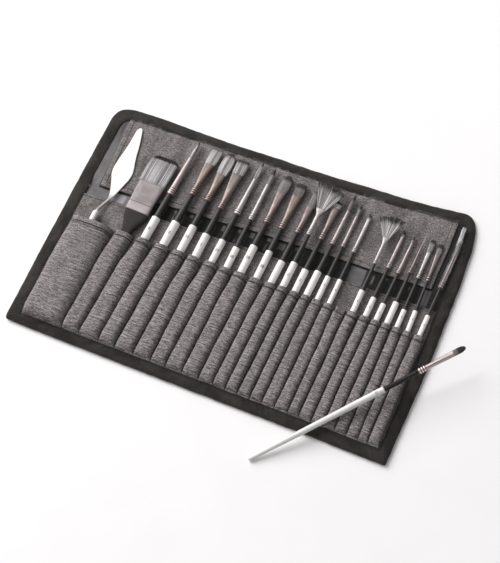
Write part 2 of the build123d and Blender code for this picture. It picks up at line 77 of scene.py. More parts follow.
SEAMS_END = [
    -257.6, -194.0, -167.1, -136.8, -111.9, -84.0, -57.6, -35.2, -10.3, 13.5, 34.4, 52.9,
    70.3, 87.7, 104.6, 123.0, 141.4, 156.4, 173.8, 189.7, 206.1, 222.1, 237.5, 250.6, 265.9,
]
SEAMS_MOUTH = [
    -257.6, -189.0, -158.2, -127.3, -101.4, -75.5, -51.7, -27.3, -4.9, 20.5, 41.4, 60.3,
    78.2, 94.7, 111.1, 128.5, 144.9, 161.4, 178.3, 194.7, 209.6, 224.6, 239.5, 253.4, 268.9,
]
# sleeve, kind, x at the mouth, lean, barrel radius, barrel end, ferrule start, last crimp,
# ferrule mouth, tip, neck radius, half width of the mouth, half width of the hair
BRUSHES = [
    (3, "round", -140.4, 3.55, 6.17, 27.4, 66.9, 76.8, 130.3, 159.4, 4.30, 3.80, 4.75),
    (4, "flat", -111.1, 3.77, 6.30, 30.3, 76.8, 87.7, 129.2, 156.4, 3.80, 7.30, 8.75),
    (5, "filbert", -84.9, 2.48, 5.80, 33.1, 75.0, 83.9, 119.5, 157.6, 4.30, 7.55, 9.25),
    (6, "flat", -61.3, 1.63, 5.80, 27.7, 70.1, 76.0, 127.5, 151.7, 3.55, 8.60, 9.25),
    (7, "round", -37.2, 2.43, 5.05, 27.7, 70.4, 77.3, 129.8, 158.8, 3.80, 2.50, 3.25),
    (8, "round", -14.1, 1.47, 4.92, 23.8, 68.9, 77.4, 127.9, 155.1, 3.05, 2.75, 3.45),
    (9, "filbert", 7.3, 2.26, 5.55, 34.3, 72.1, 81.0, 121.6, 151.3, 3.80, 6.55, 7.75),
    (10, "flat", 30.6, 1.90, 5.05, 34.1, 70.4, 80.3, 124.8, 145.1, 3.80, 7.30, 7.50),
    (11, "angular", 51.7, 3.24, 5.05, 26.2, 72.3, 79.3, 114.9, 140.2, 3.05, 5.55, 5.25),
    (12, "fan", 69.6, 2.40, 4.92, 29.3, 73.4, 81.3, 115.4, 153.4, 2.80, 7.05, 21.25),
    (13, "angular", 87.0, 2.45, 4.92, 25.8, 73.9, 84.3, 124.9, 139.2, 3.05, 6.05, 5.75),
    (14, "round", 103.7, 2.71, 4.92, 29.3, 72.9, 78.3, 126.9, 154.1, 2.55, 2.30, 3.00),
    (15, "round", 119.2, 1.91, 3.80, 27.5, 74.4, 78.8, 124.4, 143.7, 2.15, 2.05, 2.50),
    (16, "angular", 136.0, 1.97, 3.55, 28.7, 72.0, 79.9, 125.5, 133.9, 2.15, 2.40, 2.75),
    (18, "fan", 169.8, 1.76, 3.92, 23.5, 64.4, 68.9, 105.5, 136.6, 2.00, 4.80, 18.25),
    (19, "angular", 187.2, 2.45, 3.92, 20.0, 65.9, 73.8, 115.4, 126.8, 2.10, 2.00, 2.30),
    (20, "round", 202.3, 2.49, 3.80, 16.1, 63.0, 69.9, 111.5, 121.9, 2.05, 1.60, 1.85),
    (21, "liner", 217.1, 1.97, 4.17, 23.8, 68.7, 76.7, 115.3, 135.6, 1.85, 1.00, 0.95),
    (22, "flat", 230.9, 1.07, 3.42, 17.8, 65.6, 71.0, 105.7, 126.0, 1.80, 2.80, 3.75),
    (23, "flat", 245.7, -0.27, 3.17, 21.5, 65.7, 73.1, 107.8, 123.2, 1.80, 3.30, 3.75),
    (24, "detail", 261.9, 2.08, 3.30, 20.9, 63.2, 70.1, 110.8, 136.0, 1.80, 1.60, 1.80),
]
# Size digits on the barrels, how far the digit's middle is below the barrel end, metal of the
# ferrule, share of the tuft at which its dark tip starts (over 1: no dark tip), rings.
LOOKS = {
    3: ("6", 20.0, "rose", 0.84, 3), 4: ("8", 19.0, "tan", 0.95, 3),
    5: ("14", 19.0, "tan", 0.85, 3), 6: ("4", 18.0, "rose", 0.82, 2),
    7: ("12", 18.0, "silver", 0.80, 2), 8: ("10", 15.5, "silver", 0.62, 3),
    9: ("10", 20.0, "rose", 0.74, 3), 10: ("10", 25.0, "tan", 0.66, 3),
    11: ("", 20.0, "rose", 0.95, 2), 12: ("8", 20.0, "silver", 0.82, 3),
    13: ("8", 18.0, "rose", 0.55, 3), 14: ("", 20.0, "rose", 0.66, 2),
    15: ("4", 14.0, "rose", 0.60, 2), 16: ("6", 17.0, "silver", 0.44, 3),
    18: ("4", 17.0, "silver", 0.78, 2), 19: ("4", 15.0, "rose", 0.43, 3),
    20: ("2", 14.5, "rose", 0.52, 3), 21: ("", 14.0, "rose", 0.95, 3),
    22: ("4", 12.0, "silver", 0.76, 2), 23: ("2", 13.0, "rose", 0.64, 2),
    24: ("1", 15.0, "rose", 1.00, 2),
}


# brushes whose ferrules get the lighter metal copies: painted light on slim round ferrules
SLIM = (3, 7, 8, 12, 14, 15, 16, 18, 19, 20, 22)
# paler (over 0) or darker hair than the others
HAIR_TONE = {3: 0.14, 4: 0.14, 5: 0.16, 6: 0.05, 7: 0.16, 8: 0.02, 9: -0.13, 10: -0.26, 11: -0.15,
             12: 0.0, 13: 0.18, 14: -0.12, 15: -0.12, 16: -0.22, 18: 0.04, 19: -0.22, 20: -0.20,
             21: -0.05, 22: -0.10, 23: -0.14, 60: -0.42}


# ---------------------------------------------------------------- small tools
def lattice(i, j, seed):
    n = (i * 374761393 + j * 668265263 + seed * 974634777) & 0xFFFFFFFF
    n = ((n ^ (n >> 13)) * 1274126177) & 0xFFFFFFFF
    return ((n ^ (n >> 16)) & 0xFFFF) / 32767.5 - 1.0


def noise(x, y, seed=0):
    """Smooth value noise from -1 to 1, the same each run."""
    x, y = np.broadcast_arrays(np.asarray(x, float), np.asarray(y, float))
    i, j = np.floor(x).astype(np.int64), np.floor(y).astype(np.int64)
    fx, fy = x - i, y - j
    fx = fx * fx * fx * (fx * (fx * 6 - 15) + 10)
    fy = fy * fy * fy * (fy * (fy * 6 - 15) + 10)
    low = lattice(i, j, seed) * (1 - fx) + lattice(i + 1, j, seed) * fx
    high = lattice(i, j + 1, seed) * (1 - fx) + lattice(i + 1, j + 1, seed) * fx
    return low * (1 - fy) + high * fy


def fbm(x, y, seed=0, octaves=3):
    x, y = np.asarray(x, float), np.asarray(y, float)
    return sum(noise(x * 2**k, y * 2**k, seed + 17 * k) / 2**k for k in range(octaves)) / 1.75


def smooth(low, high, x):
    t = np.clip((np.asarray(x, float) - low) / (high - low), 0, 1)
    return t * t * (3 - 2 * t)


def resample(points, count):
    """count points evenly along a polyline."""
    points = np.asarray(points, float)
    along = np.concatenate([[0], np.cumsum(np.linalg.norm(np.diff(points, axis=0), axis=1))])
    at = np.linspace(0, along[-1], count)
    return np.stack([np.interp(at, along, points[:, k]) for k in range(points.shape[1])], -1)


def curve(knots, at):
    """Smooth monotone curve through (x, y) knots, read at the values at."""
    x, y = np.array(knots, float).T
    h, d = np.diff(x), np.diff(y) / np.diff(x)
    m = np.zeros(len(x))
    for k in range(1, len(x) - 1):
        if d[k - 1] * d[k] > 0:
            w1, w2 = 2 * h[k] + h[k - 1], h[k] + 2 * h[k - 1]
            m[k] = (w1 + w2) / (w1 / d[k - 1] + w2 / d[k])
    m[0], m[-1] = d[0], d[-1]
    at = np.clip(np.asarray(at, float), x[0], x[-1])
    k = np.clip(np.searchsorted(x, at) - 1, 0, len(h) - 1)
    t = (at - x[k]) / h[k]
    return ((2 * t**3 - 3 * t**2 + 1) * y[k] + (t**3 - 2 * t**2 + t) * h[k] * m[k]
            + (3 * t**2 - 2 * t**3) * y[k + 1] + (t**3 - t**2) * h[k] * m[k + 1])


def grid_faces(rows, cols, start=0, wrap_rows=False, wrap_cols=False, flip=False):
    i = np.arange(rows if wrap_rows else rows - 1)[:, None]
    j = np.arange(cols if wrap_cols else cols - 1)[None, :]
    i2, j2 = (i + 1) % rows, (j + 1) % cols
    quads = np.stack(np.broadcast_arrays(i * cols + j, i * cols + j2, i2 * cols + j2,
                                         i2 * cols + j), -1).reshape(-1, 4) + start
    return quads[:, ::-1] if flip else quads


def make_mesh(name, points, faces, materials, index=None, flat=None, attributes=None):
    """A mesh object from points in mm and a list of face arrays (quads or triangles)."""
    points = np.asarray(points, np.float32).reshape(-1, 3) * MM
    mesh = bpy.data.meshes.new(name)
    mesh.vertices.add(len(points))
    mesh.vertices.foreach_set("co", points.ravel())
    corners = np.concatenate([np.asarray(f, np.int32).ravel() for f in faces])
    sizes = np.concatenate([np.full(len(f), np.asarray(f).shape[1], np.int32) for f in faces])
    mesh.loops.add(len(corners))
    mesh.loops.foreach_set("vertex_index", corners)
    mesh.polygons.add(len(sizes))
    mesh.polygons.foreach_set("loop_start",
                              np.concatenate([[0], np.cumsum(sizes)[:-1]]).astype(np.int32))
    mesh.update(calc_edges=True)
    shade = np.ones(len(sizes), bool) if flat is None else ~np.asarray(flat, bool)
    mesh.polygons.foreach_set("use_smooth", shade)
    for m in materials:
        mesh.materials.append(m)
    if index is not None:
        mesh.polygons.foreach_set("material_index", np.asarray(index, np.int32))
    for key, values in (attributes or {}).items():
        values = np.asarray(values, np.float32)
        if values.ndim == 2:
            mesh.attributes.new(key, "FLOAT_VECTOR", "POINT").data.foreach_set(
                "vector", values.ravel())
        else:
            mesh.attributes.new(key, "FLOAT", "POINT").data.foreach_set("value", values)
    mesh.update()
    obj = bpy.data.objects.new(name, mesh)
    bpy.context.scene.collection.objects.link(obj)
    return obj


def normals_of(top, wrap_rows=False):
    """Unit normals of a grid of points, rows by columns."""
    def step(values, axis, wrap):
        if wrap:
            return np.roll(values, -1, axis) - np.roll(values, 1, axis)
        return np.gradient(values, axis=axis)
    n = np.cross(step(top, 1, False), step(top, 0, wrap_rows))
    return n / np.maximum(np.linalg.norm(n, axis=-1, keepdims=True), 1e-9)


def cloth_sheet(name, top, thick, cloth, material, wrap_rows=False):
    """A thin closed sheet: top is its upper side, thick is measured down from it."""
    rows, cols = top.shape[:2]
    thick = np.broadcast_to(np.asarray(thick, float), (rows, cols))
    under = top - normals_of(top, wrap_rows) * thick[..., None]
    base = rows * cols
    upper = grid_faces(rows, cols, 0, wrap_rows)
    lower = grid_faces(rows, cols, base, wrap_rows, flip=True)
    rims = []

    def rim(line, flip):
        a, b = line[:-1], line[1:]
        quads = np.stack([a, a + base, b + base, b], -1)
        rims.append(quads[:, ::-1] if flip else quads)

    number = np.arange(base).reshape(rows, cols)
    if wrap_rows:
        closed = np.concatenate([number, number[:1]])
        rim(closed[:, 0], True)
        rim(closed[:, -1], False)
    else:
        rim(number[0], False)
        rim(number[-1], True)
        rim(number[:, 0], True)
        rim(number[:, -1], False)
    rims = np.concatenate(rims)
    flat = np.zeros(len(upper) + len(lower) + len(rims), bool)
    flat[len(upper) + len(lower):] = True
    both = np.concatenate([top.reshape(-1, 3), under.reshape(-1, 3)])
    cloth = np.asarray(cloth, float).reshape(-1, 3)
    return make_mesh(name, both, [np.concatenate([upper, lower, rims])], [material], flat=flat,
                     attributes={"cloth": np.concatenate([cloth, cloth])})


def plan_uv(top, shade=0.0):
    """Thread coordinates of a sheet that lies nearly flat: its own x and y in mm, and how far
    its colour is painted darker there as shade in folds, grooves and gaps (1), or painted lighter as light
    (-1)."""
    uv = np.array(top, float)
    uv[..., 2] = np.clip(shade, -1, 1)
    return uv


# ---------------------------------------------------------------- material tools
class Look:
    """A node material built around one Principled shader."""

    def __init__(self, name, **settings):
        self.material = bpy.data.materials.new(name)
        self.material.use_nodes = True
        self.tree = self.material.node_tree
        self.shader = self.tree.nodes["Principled BSDF"]
        for key, value in settings.items():
            self.set(key.replace("_", " ").title() if key != "ior" else "IOR", value)

    def set(self, socket, value):
        self.join(self.shader.inputs[socket], value)

    def join(self, socket, value):
        if isinstance(value, bpy.types.NodeSocket):
            self.tree.links.new(value, socket)
        elif isinstance(value, (tuple, list)) and socket.type == "RGBA" and len(value) == 3:
            socket.default_value = (*value, 1.0)
        else:
            socket.default_value = value

    def node(self, kind, values, **settings):
        n = self.tree.nodes.new(kind)
        for key, value in settings.items():
            setattr(n, key, value)
        for key, value in values.items():
            self.join(n.inputs[key], value)
        return n

    def attribute(self, name, output="Vector"):
        return self.node("ShaderNodeAttribute", {}, attribute_name=name).outputs[output]

    def place(self):
        """The piece's own coordinates, in millimetres."""
        where = self.node("ShaderNodeTexCoord", {}).outputs["Object"]
        return self.vector("SCALE", where, scale=1000.0)

    def vector(self, operation, a, b=None, scale=None):
        n = self.tree.nodes.new("ShaderNodeVectorMath")
        n.operation = operation
        self.join(n.inputs[0], a)
        if b is not None:
            self.join(n.inputs[1], b)
        if scale is not None:
            self.join(n.inputs["Scale"], scale)
        return n.outputs[0]

    def math(self, operation, a, b=None, clamp=False):
        n = self.tree.nodes.new("ShaderNodeMath")
        n.operation, n.use_clamp = operation, clamp
        self.join(n.inputs[0], a)
        if b is not None:
            self.join(n.inputs[1], b)
        return n.outputs[0]

    def part(self, vector, axis):
        return self.node("ShaderNodeSeparateXYZ", {0: vector}).outputs[axis]

    def noise(self, vector, scale, detail=2.0, rough=0.5, distortion=0.0):
        return self.node("ShaderNodeTexNoise", {"Vector": vector, "Scale": scale,
                                                "Detail": detail, "Roughness": rough,
                                                "Distortion": distortion}).outputs[0]

    def ramp(self, value, low, high, to_low=0.0, to_high=1.0, kind="SMOOTHSTEP"):
        n = self.node("ShaderNodeMapRange", {"Value": value, "From Min": low, "From Max": high,
                                             "To Min": to_low, "To Max": to_high},
                      interpolation_type=kind)
        return n.outputs[0]

    def mix(self, share, a, b, blend="MIX"):
        n = self.tree.nodes.new("ShaderNodeMix")
        n.data_type, n.blend_type = "RGBA", blend
        self.join(n.inputs[0], share)
        self.join(n.inputs[6], a)
        self.join(n.inputs[7], b)
        return n.outputs[2]

    def bump(self, height, strength, distance_mm, under=None):
        values = {"Height": height, "Strength": strength, "Distance": distance_mm * MM}
        if under is not None:
            values["Normal"] = under
        return self.node("ShaderNodeBump", values).outputs[0]


def heather(name, light, middle, dark, stretch=1.0, coarse=1.0, contrast=1.0, cloudy=0.15,
            slubs=0.45):
    """Melange canvas: yarn-dyed slubs along the weft over a plain weave."""
    look = Look(name, roughness=0.88)
    cloth = look.attribute("cloth")
    scaled = lambda x, y: look.vector("MULTIPLY", cloth, (x * coarse, y * coarse, 0))
    slub = look.noise(scaled(0.060 * stretch, 0.50), 1.0, 2.0, 0.6)
    yarn = look.noise(scaled(0.17 * stretch, 1.00), 1.0, 1.0, 0.5)
    speck = look.noise(scaled(0.55, 0.80), 1.0, 2.0, 0.60)
    where = look.vector("ADD", cloth, (311.0, 57.0, 0.0))
    fleck = look.noise(look.vector("MULTIPLY", where, (0.09 * stretch * coarse, 0.85 * coarse, 0)),
                       1.0, 1.0, 0.5)
    broad = look.noise(look.vector("MULTIPLY", cloth, (0.055, 0.035, 0)), 1.0, 3.0, 0.55)
    low, high = 0.5 - 0.18 / contrast, 0.5 + 0.18 / contrast
    share = look.math("ADD", look.math("MULTIPLY", look.ramp(slub, low, high), 0.28),
                      look.math("MULTIPLY", look.ramp(yarn, low, high), 0.30))
    share = look.math("ADD", share, look.math("MULTIPLY", look.ramp(speck, low, high), 0.42))
    colour = look.mix(look.ramp(share, 0.12, 0.52), dark, middle)
    colour = look.mix(look.ramp(share, 0.48, 0.92), colour, light)
    colour = look.mix(look.ramp(fleck, 0.66, 0.74, 0.0, 0.35), colour, dark)
    colour = look.mix(look.ramp(broad, 0.36, 0.66, 0.0, cloudy), colour, dark)
    long_slub = look.noise(look.vector("MULTIPLY", cloth, (0.028 * stretch, 0.62, 0)), 1.0, 1.0, 0.5)
    colour = look.mix(look.ramp(long_slub, 0.60, 0.70, 0.0, slubs), colour, light)
    colour = look.mix(look.ramp(long_slub, 0.30, 0.40, slubs, 0.0), colour, dark)
    # third cloth coordinate: under 0 paints the colour lighter (painted light), over 0 darker towards near
    # black (painted shade in folds, grooves and gaps)
    mark = look.part(cloth, 2)
    colour = look.mix(look.ramp(look.math("MULTIPLY", mark, -1.0), 0.0, 1.0, 0.0, 0.8), colour, light)
    colour = look.mix(look.ramp(mark, 0.0, 1.0, 0.0, 0.92, "LINEAR"), colour,
                      (0.008, 0.007, 0.0068))
    look.set("Base Color", colour)
    turned = look.vector("SCALE", cloth, scale=2 * pi / 0.85)
    threads = look.math("MULTIPLY", look.math("SINE", look.part(turned, 0)),
                        look.math("SINE", look.part(turned, 1)))
    height = look.math("ADD", look.math("MULTIPLY", threads, 0.35),
                       look.math("MULTIPLY", look.math("ADD", slub, yarn), 0.9))
    look.set("Normal", look.bump(height, 0.55, 0.25))
    look.set("Roughness", look.ramp(yarn, 0.3, 0.7, 0.80, 0.95))
    look.set("Sheen Weight", 0.08)
    look.set("Sheen Roughness", 0.45)
    look.set("Specular IOR Level", 0.18)
    return look.material


def plain_cloth(name, colour, darker, pitch, rough, sheen, twill=0.0, strength=0.35, spec=0.3,
                lint_share=0.45):
    """Plain dyed cloth or tape with its own thread pitch in mm."""
    look = Look(name)
    cloth = look.attribute("cloth")
    broad = look.noise(look.vector("MULTIPLY", cloth, (0.035, 0.05, 0)), 1.0, 3.0, 0.6)
    fine = look.noise(look.vector("MULTIPLY", cloth, (0.9, 1.3, 0)), 1.0, 2.0, 0.6)
    lint = look.noise(look.vector("MULTIPLY", cloth, (0.45, 1.9, 0)), 1.0, 2.0, 0.6)
    tone = look.mix(look.ramp(broad, 0.36, 0.64, 0.0, 0.80), colour, darker)
    tone = look.mix(look.ramp(fine, 0.35, 0.75, 0.0, 0.45), tone, darker)
    lighter = tuple(min(1.0, c * 1.9 + 0.01) for c in colour)
    tone = look.mix(look.ramp(lint, 0.60, 0.74, 0.0, lint_share), tone, lighter)
    # third cloth coordinate: under 0 paints the colour lighter (painted light), over 0 darker towards near
    # black (painted shade in folds, grooves and gaps)
    mark = look.part(cloth, 2)
    tone = look.mix(look.ramp(look.math("MULTIPLY", mark, -1.0), 0.0, 1.0), tone, lighter)
    tone = look.mix(look.ramp(mark, 0.0, 1.0, 0.0, 1.0, "LINEAR"), tone,
                    tuple(0.03 * c for c in colour))
    look.set("Base Color", tone)
    scaled = look.vector("SCALE", cloth, scale=2 * pi / pitch)
    across, along = look.part(scaled, 0), look.part(scaled, 1)
    if twill:
        weave = look.math("SINE", look.math("ADD", across, look.math("MULTIPLY", along, twill)))
    else:
        weave = look.math("MULTIPLY", look.math("SINE", across), look.math("SINE", along))
    height = look.math("ADD", look.math("MULTIPLY", weave, 0.4), look.math("MULTIPLY", fine, 0.8))
    look.set("Normal", look.bump(height, strength, 0.18))
    look.set("Roughness", look.ramp(fine, 0.3, 0.7, rough - 0.08, min(1.0, rough + 0.07)))
    look.set("Sheen Weight", sheen)
    look.set("Sheen Roughness", 0.4)
    look.set("Specular IOR Level", spec)
    return look.material


def lacquer(name, colour, tint, rough, coat):
    """Dipped paint over turned wood: faint long waves, dust and handling marks."""
    look = Look(name)
    tool = look.attribute("tool")
    long_grain = look.noise(look.vector("MULTIPLY", tool, (0.8, 0.05, 1)), 1.0, 3.0, 0.6)
    marks = look.noise(look.vector("MULTIPLY", tool, (0.35, 0.35, 3)), 1.0, 4.0, 0.65)
    tone = look.mix(look.ramp(long_grain, 0.35, 0.7, 0.0, 0.5), colour, tint)
    tone = look.mix(look.ramp(marks, 0.62, 0.78, 0.0, 0.30), tone, tint)
    look.set("Base Color", tone)
    look.set("Roughness", look.ramp(marks, 0.35, 0.75, rough - 0.05, rough + 0.12))
    look.set("Coat Weight", coat)
    look.set("Coat Roughness", 0.12)
    look.set("Normal", look.bump(long_grain, 0.12, 0.10))
    return look.material


def ferrule(name, colour, shade, rough, flutes=0.5, across=0.50, deep=0.45):
    """Drawn metal tube with fine lengthwise draw lines and dull patches. Its third coordinate
    paints shade and light into the colour: over 0 darker (painted shade), under 0 lighter (painted
    highlight)."""
    look = Look(name, metallic=0.92)
    tool = look.attribute("tool")
    lines = look.noise(look.vector("MULTIPLY", tool, (1.6, 0.03, 0)), 1.0, 2.0, 0.55)
    dull = look.noise(look.vector("MULTIPLY", tool, (0.22, 0.10, 0)), 1.0, 3.0, 0.6)
    tone = look.mix(look.ramp(dull, 0.3, 0.75, 0.0, 0.7), colour, shade)
    tone = look.mix(look.ramp(lines, 0.4, 0.75, 0.0, 0.30), tone, shade)
    drawn = look.noise(look.vector("MULTIPLY", tool, (across, 0.004, 0)), 1.0, 1.0, 0.5)
    tone = look.mix(look.ramp(drawn, 0.47, 0.60, 0.0, flutes), tone, tuple(deep * c for c in shade))
    mark = look.part(tool, 2)
    tone = look.mix(look.ramp(mark, 0.0, 1.0, 0.0, 0.92), tone, tuple(0.12 * c for c in shade))
    # painted highlight colour, for the ring ridges
    painted_highlight_tone = tuple(min(1.0, 1.45 * c) for c in colour)
    tone = look.mix(look.ramp(look.math("MULTIPLY", mark, -1.0), 0.0, 1.0), tone, painted_highlight_tone)
    look.set("Base Color", tone)
    look.set("Roughness", look.ramp(dull, 0.3, 0.7, rough - 0.05, rough + 0.10))
    look.set("Normal", look.bump(lines, 0.05, 0.04))
    return look.material


def hair_look(name, root, middle, streak, tip, soft=(-0.16, 0.03)):
    """Synthetic hair: pale and dark single hairs, a soft dark tip. hair holds (tint, share
    along the tuft, share where the dark tip starts)."""
    look = Look(name)
    hair = look.attribute("hair")
    tint, along, start = (look.part(hair, k) for k in range(3))
    pale = look.math("MULTIPLY", look.ramp(tint, 0.40, 0.85), look.ramp(along, 0.35, 1.0, 1.0, 0.45))
    tone = look.mix(pale, middle, streak)
    tone = look.mix(look.ramp(along, 0.0, 0.14, 0.50, 0.0), tone, root)
    over = look.math("SUBTRACT", along, look.math("ADD", start, look.math("MULTIPLY", tint, 0.04)))
    tone = look.mix(look.ramp(over, *soft), tone, tip)
    look.set("Base Color", tone)
    look.set("Roughness", look.ramp(tint, 0.0, 1.0, 0.55, 0.42))
    look.set("Specular IOR Level", 0.30)
    return look.material


# ---------------------------------------------------------------- materials
canvas = heather("heather_canvas", (0.46, 0.43, 0.425), (0.190, 0.172, 0.169),
                 (0.050, 0.043, 0.042), coarse=1.16, contrast=1.12)
canvas_flap = heather("heather_canvas_flap", (0.41, 0.386, 0.379), (0.180, 0.164, 0.160),
                      (0.045, 0.039, 0.038), stretch=2.6, coarse=1.08, contrast=0.88, cloudy=0.46, slubs=0.15)
lining_cloth = plain_cloth("lining_cloth", (0.150, 0.143, 0.148), (0.098, 0.092, 0.096), 0.55,
                           0.55, 0.10, spec=0.35)
edge_tape = plain_cloth("edge_tape", (0.034, 0.030, 0.027), (0.0120, 0.0108, 0.0100), 0.9,
                        0.80, 0.12, twill=0.5, strength=0.8, spec=0.25, lint_share=0.8)
strap_web = plain_cloth("strap_webbing", (0.028, 0.027, 0.026), (0.014, 0.014, 0.013), 1.6, 0.78,
                        0.15, twill=1.0, strength=0.9)
hook_pile = plain_cloth("hook_pile", (0.022, 0.022, 0.022), (0.008, 0.008, 0.008), 1.3, 0.55, 0.1,
                        strength=1.0, spec=0.45)
loop_pile = plain_cloth("loop_pile", (0.030, 0.030, 0.030), (0.012, 0.012, 0.012), 0.7, 0.95, 0.5,
                        strength=1.0)
foam = plain_cloth("foam", (0.70, 0.69, 0.66), (0.60, 0.59, 0.56), 1.1, 0.95, 0.1)
thread_grey = plain_cloth("thread_grey", (0.050, 0.046, 0.045), (0.026, 0.024, 0.023), 0.45, 0.7,
                          0.2)
thread_black = plain_cloth("thread_black", (0.020, 0.019, 0.018), (0.010, 0.010, 0.010), 0.45,
                           0.65, 0.2)
white_paint = lacquer("white_lacquer", (0.85, 0.838, 0.815), (0.76, 0.748, 0.725), 0.34, 0.35)
# The loose brush's white and black lacquers are darker copies of the others: painted shade.
loose_paint = lacquer("white_lacquer_loose_shaded", (0.70, 0.69, 0.68), (0.60, 0.59, 0.58), 0.34, 0.30)
black_paint = lacquer("black_lacquer", (0.024, 0.0235, 0.0205), (0.015, 0.0145, 0.013), 0.42, 0.12)
loose_black = lacquer("black_lacquer_loose_shaded", (0.015, 0.0145, 0.0135), (0.010, 0.0098, 0.0092), 0.50, 0.0)
loose_black.node_tree.nodes["Principled BSDF"].inputs["Specular IOR Level"].default_value = 0.28
wash_paint = lacquer("wash_lacquer", (0.025, 0.021, 0.0205), (0.018, 0.015, 0.0145), 0.62, 0.0)
wash_paint.node_tree.nodes["Principled BSDF"].inputs["Specular IOR Level"].default_value = 0.25
# rose, tan and silver are darker, shaded copies for the broad ferrules of flats; the _slim metals and the
# loose brush's are lighter copies: painted light
metals = {
    "rose": ferrule("ferrule_rose", (0.38, 0.318, 0.303), (0.26, 0.210, 0.199), 0.35),
    "tan": ferrule("ferrule_tan", (0.36, 0.298, 0.265), (0.245, 0.198, 0.174), 0.36),
    "silver": ferrule("ferrule_silver", (0.66, 0.625, 0.605), (0.47, 0.44, 0.42), 0.33),
    "rose_slim": ferrule("ferrule_rose_slim", (0.61, 0.54, 0.527), (0.475, 0.408, 0.395), 0.48, 0.25),
    "silver_slim": ferrule("ferrule_silver_slim", (0.65, 0.622, 0.606), (0.50, 0.476, 0.46), 0.48, 0.25),
    "loose": ferrule("ferrule_rose_loose_painted_lit", (0.64, 0.555, 0.547), (0.56, 0.475, 0.468), 0.42, 1.0,
                     0.85, 0.14),
    "wash": ferrule("ferrule_wash", (0.255, 0.228, 0.228), (0.205, 0.184, 0.184), 0.42, 0.0),
}
hair_grey = hair_look("hair_grey", (0.24, 0.21, 0.20), (0.190, 0.176, 0.178),
                      (0.72, 0.695, 0.685), (0.038, 0.032, 0.032))
hair_pale = hair_look("hair_pale", (0.30, 0.28, 0.28), (0.20, 0.19, 0.195),
                      (0.86, 0.84, 0.86), (0.016, 0.0125, 0.012), (-0.03, 0.02))
hair_fan = hair_look("hair_fan", (0.30, 0.27, 0.26), (0.26, 0.245, 0.25),
                     (0.84, 0.82, 0.83), (0.035, 0.030, 0.030), (-0.22, 0.05))


def ink_look():
    look = Look("ink", roughness=0.5)
    where = look.place()
    wear = look.noise(where, 1.4, 3.0, 0.6)
    look.set("Base Color", look.mix(look.ramp(wear, 0.35, 0.75, 0.0, 0.6), (0.030, 0.029, 0.030),
                                    (0.11, 0.106, 0.106)))
    return look.material


def moulded_look():
    look = Look("white_plastic", roughness=0.38)
    where = look.place()
    flow = look.noise(look.vector("MULTIPLY", where, (0.12, 0.03, 0.12)), 1.0, 3.0, 0.6)
    fine = look.noise(where, 2.6, 2.0, 0.6)
    tone = look.mix(look.ramp(flow, 0.3, 0.7), (0.88, 0.872, 0.845), (0.80, 0.792, 0.765))
    along = look.part(where, 1)          # the thin shank is painted greyer: painted shade
    shank = look.math("MULTIPLY", look.ramp(along, 6.0, 12.0), look.ramp(along, 30.0, 46.0, 1.0, 0.0))
    look.set("Base Color", look.mix(look.math("MULTIPLY", shank, 0.92), tone, (0.28, 0.270, 0.258)))
    look.set("Roughness", look.ramp(fine, 0.3, 0.7, 0.30, 0.46))
    look.set("Normal", look.bump(fine, 0.08, 0.06))
    look.set("Subsurface Weight", 0.06)
    look.set("Subsurface Scale", 0.002)
    return look.material


def clear_look():
    """Thin clear tube: nearly invisible, with painted highlights: white streaks along its folds and scuffs,
    and a greyer, more opaque crumpled upper part.
    """
    look = Look("clear_plastic", roughness=0.22)
    tool = look.attribute("tool")
    folds = look.noise(look.vector("MULTIPLY", tool, (0.75, 0.016, 0)), 1.0, 1.0, 0.5)
    scuffs = look.noise(look.vector("MULTIPLY", tool, (0.35, 0.06, 0)), 1.0, 1.0, 0.5)
    # painted highlights: white, more opaque streaks on the clear film
    white = look.math("MAXIMUM", look.ramp(folds, 0.60, 0.66),
                      look.math("MULTIPLY", look.ramp(scuffs, 0.64, 0.72), 0.25))
    white = look.math("MAXIMUM", white, look.math("MULTIPLY", look.part(tool, 2),
                                                  look.ramp(scuffs, 0.42, 0.56, 0.20, 0.90)))
    look.set("Base Color", look.mix(look.part(tool, 2), (0.92, 0.91, 0.91), (0.58, 0.565, 0.56)))
    look.set("Alpha", look.math("MULTIPLY", look.ramp(white, 0.0, 1.0, 0.04, 0.85, "LINEAR"),
                                look.ramp(look.part(tool, 0), 40.0, 41.0, 1.0, 0.25)))
    look.set("Roughness", look.ramp(scuffs, 0.3, 0.7, 0.28, 0.42))
    look.set("Normal", look.bump(folds, 0.12, 0.4))
    look.set("Specular IOR Level", 0.3)
    return look.material


ink, moulded, clear = ink_look(), moulded_look(), clear_look()

# ---------------------------------------------------------------- outline of the case
middle = lambda a, b: ((a[0] + b[0]) / 2, (a[1] + b[1]) / 2)
corner_bl, corner_tr, corner_tl = (middle(OUTLINE[0], OUTLINE[1]), middle(OUTLINE[14], OUTLINE[15]),
                                   middle(OUTLINE[30], OUTLINE[31]))
outer_sides = [
    [corner_bl] + OUTLINE[1:7], OUTLINE[6:15] + [corner_tr],
    [corner_tr] + OUTLINE[15:31] + [corner_tl], [corner_tl] + OUTLINE[31:] + [OUTLINE[0], corner_bl],
]
inner_sides = [WINDOW[0:3], WINDOW[2:8], WINDOW[7:17], WINDOW[16:] + [WINDOW[0]]]
side_counts = (300, 190, 290, 190)


def soften(loop, sigma):
    """Rounds a closed loop of evenly spaced points a little."""
    reach = int(3 * sigma) + 1
    weights = np.exp(-0.5 * (np.arange(-reach, reach + 1) / sigma) ** 2)
    weights /= weights.sum()
    return sum(w * np.roll(loop, k, axis=0) for k, w in zip(range(-reach, reach + 1), weights))


